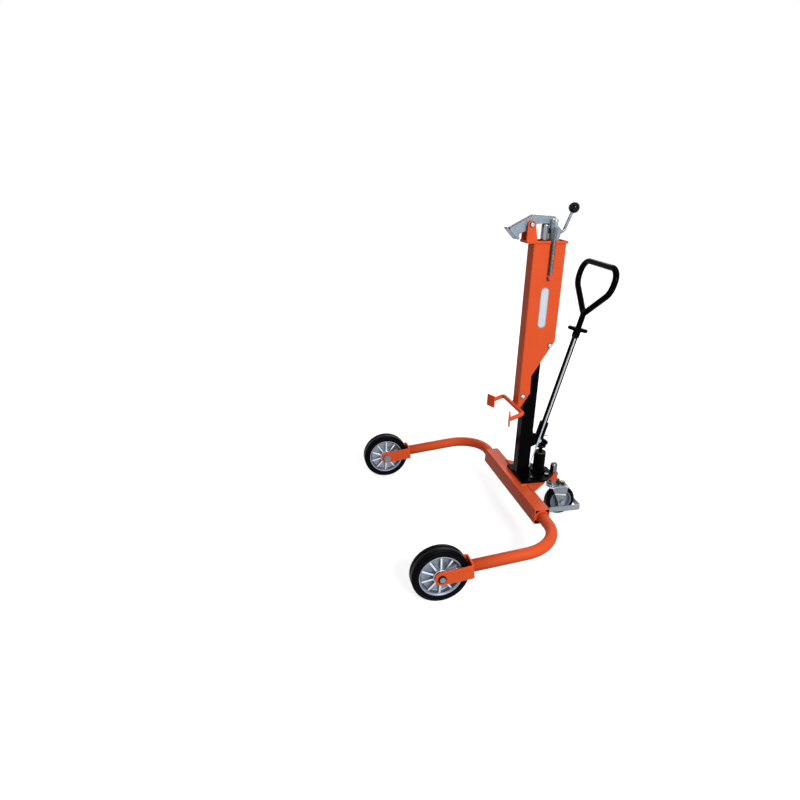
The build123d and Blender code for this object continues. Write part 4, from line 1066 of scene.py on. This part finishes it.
class TRUCK_OT_stage(bpy.types.Operator):
    """Pale floor, soft light and the camera"""
    bl_idname = "truck.stage"
    bl_label = "Stage"

    def execute(self, context):
        scene = context.scene
        scene.view_settings.view_transform = "Standard"
        self.floor(scene)
        self.world(scene)
        for name, at, aim, size, power in (
                ("key", (3.7, 0.4, 2.5), (0.1, 0, 0.4), 1.3, 140),
                ("top", (0.2, 0.4, 3.6), (0, 0, 0.4), 2.4, 12),
                ("fill", (0.9, -3.4, 1.8), (0, 0, 0.6), 2.4, 9),
                ("back", (-3.2, 1.2, 2.2), (0, 0, 0.6), 2.0, 60)):
            lamp = bpy.data.lights.new(name, "AREA")
            lamp.energy, lamp.size = power, size
            o = bpy.data.objects.new(name, lamp)
            o.location = at
            o.rotation_euler = (Vector(aim) - Vector(at)).to_track_quat("-Z", "Y").to_euler()
            scene.collection.objects.link(o)
        self.camera(scene)
        return {"FINISHED"}

    def seen(self, t):
        """One where a ray comes from the camera, a mirror or glass."""
        path = add(t, "ShaderNodeLightPath")
        near = add(t, "ShaderNodeMath", {
            0: path.outputs["Is Camera Ray"], 1: path.outputs["Is Glossy Ray"]}, operation="MAXIMUM")
        return add(t, "ShaderNodeMath", {
            0: near.outputs[0], 1: path.outputs["Is Transmission Ray"]}, operation="MAXIMUM").outputs[0]

    def floor(self, scene):
        """Wide pale floor that fades to the white background and keeps the shadow."""
        reach, fade_from, fade_to, pale, unseen = 20.0, 1.0, 4.0, 0.66, 0.2
        mesh = bpy.data.meshes.new("floor")
        mesh.from_pydata([(-reach, -reach, 0), (reach, -reach, 0), (reach, reach, 0), (-reach, reach, 0)],
                         [], [(0, 1, 2, 3)])
        floor = bpy.data.objects.new("floor", mesh)
        scene.collection.objects.link(floor)
        mat = bpy.data.materials.new("pale_floor")
        mat.use_nodes = True
        t = mat.node_tree
        t.nodes.clear()
        place = add(t, "ShaderNodeTexCoord").outputs["Object"]
        far = add(t, "ShaderNodeVectorMath", {0: place}, operation="LENGTH")
        lift = add(t, "ShaderNodeMapRange", {
            "Value": far.outputs["Value"], "From Min": fade_from, "From Max": fade_to,
            "To Min": pale, "To Max": 1.0})
        seen = self.seen(t)
        glow = add(t, "ShaderNodeMath", {0: lift.outputs[0], 1: seen}, operation="MULTIPLY")
        shade = add(t, "ShaderNodeMapRange", {"Value": seen, "To Min": unseen, "To Max": pale})
        matt = add(t, "ShaderNodeBsdfDiffuse", {"Color": shade.outputs[0]})
        light = add(t, "ShaderNodeEmission", {"Color": (1, 1, 1, 1), "Strength": glow.outputs[0]})
        both = add(t, "ShaderNodeAddShader", {0: matt.outputs[0], 1: light.outputs[0]})
        add(t, "ShaderNodeOutputMaterial", {"Surface": both.outputs[0]})
        mesh.materials.append(mat)

    def world(self, scene):
        """Weak even light, and white where it is seen."""
        world = bpy.data.worlds.new("studio")
        scene.world = world
        world.use_nodes = True
        t = world.node_tree
        t.nodes.clear()
        soft = add(t, "ShaderNodeBackground", {"Color": (0.97, 0.98, 1.0, 1), "Strength": 0.18})
        white = add(t, "ShaderNodeBackground", {"Color": (1, 1, 1, 1), "Strength": 1.0})
        mix = add(t, "ShaderNodeMixShader", {0: self.seen(t), 1: soft.outputs[0], 2: white.outputs[0]})
        add(t, "ShaderNodeOutputWorld", {"Surface": mix.outputs[0]})

    def camera(self, scene):
        """Camera solved from the picture, with its focal length and middle in that picture's pixels."""
        place = (2.1572, -0.8674, 1.3758)
        yaw, pitch, roll = (math.radians(a) for a in (12.44, 20.89, 1.5))
        picture, focal, middle_x, middle_y = 800, 633.3, 393.5, 403.5
        sensor = 36.0
        fwd = Vector((-math.cos(yaw) * math.cos(pitch), math.sin(yaw) * math.cos(pitch), -math.sin(pitch)))
        level = Vector((math.sin(yaw), math.cos(yaw), 0))
        above = level.cross(fwd)
        right = level * math.cos(roll) + above * math.sin(roll)
        up = above * math.cos(roll) - level * math.sin(roll)
        cam = bpy.data.cameras.new("camera")
        cam.sensor_width = sensor
        cam.lens = focal / picture * sensor
        cam.shift_x = 0.5 - middle_x / picture
        cam.shift_y = middle_y / picture - 0.5
        o = bpy.data.objects.new("camera", cam)
        m = Matrix((right, up, -fwd)).transposed().to_4x4()
        m.translation = place
        o.matrix_world = m
        scene.collection.objects.link(o)
        scene.camera = o


class TRUCK_PT_build(bpy.types.Panel):
    """Steps of the build"""
    bl_idname = "TRUCK_PT_build"
    bl_label = "Drum truck"
    bl_space_type = "VIEW_3D"
    bl_region_type = "UI"
    bl_category = "Truck"

    def draw(self, context):
        for op in steps:
            self.layout.operator(op.bl_idname)
        for group in (context.scene.truck_sizes, context.scene.truck_colours):
            for key in group.__annotations__:
                self.layout.prop(group, key)


steps = (
    TRUCK_OT_finishes, TRUCK_OT_chassis, TRUCK_OT_wheels, TRUCK_OT_caster, TRUCK_OT_mast, TRUCK_OT_carriage,
    TRUCK_OT_beak, TRUCK_OT_spring, TRUCK_OT_handle, TRUCK_OT_pump, TRUCK_OT_stage)
classes = (TruckSizes, TruckColours) + steps + (TRUCK_PT_build,)


def register():
    for c in classes:
        bpy.utils.register_class(c)
    bpy.types.Scene.truck_sizes = bpy.props.PointerProperty(type=TruckSizes)
    bpy.types.Scene.truck_colours = bpy.props.PointerProperty(type=TruckColours)


def unregister():
    del bpy.types.Scene.truck_sizes
    del bpy.types.Scene.truck_colours
    for c in reversed(classes):
        bpy.utils.unregister_class(c)


def main():
    """Builds the truck."""
    register()
    for op in steps:
        group, name = op.bl_idname.split(".")
        getattr(getattr(bpy.ops, group), name)()


if __name__ == "__main__":
    main()
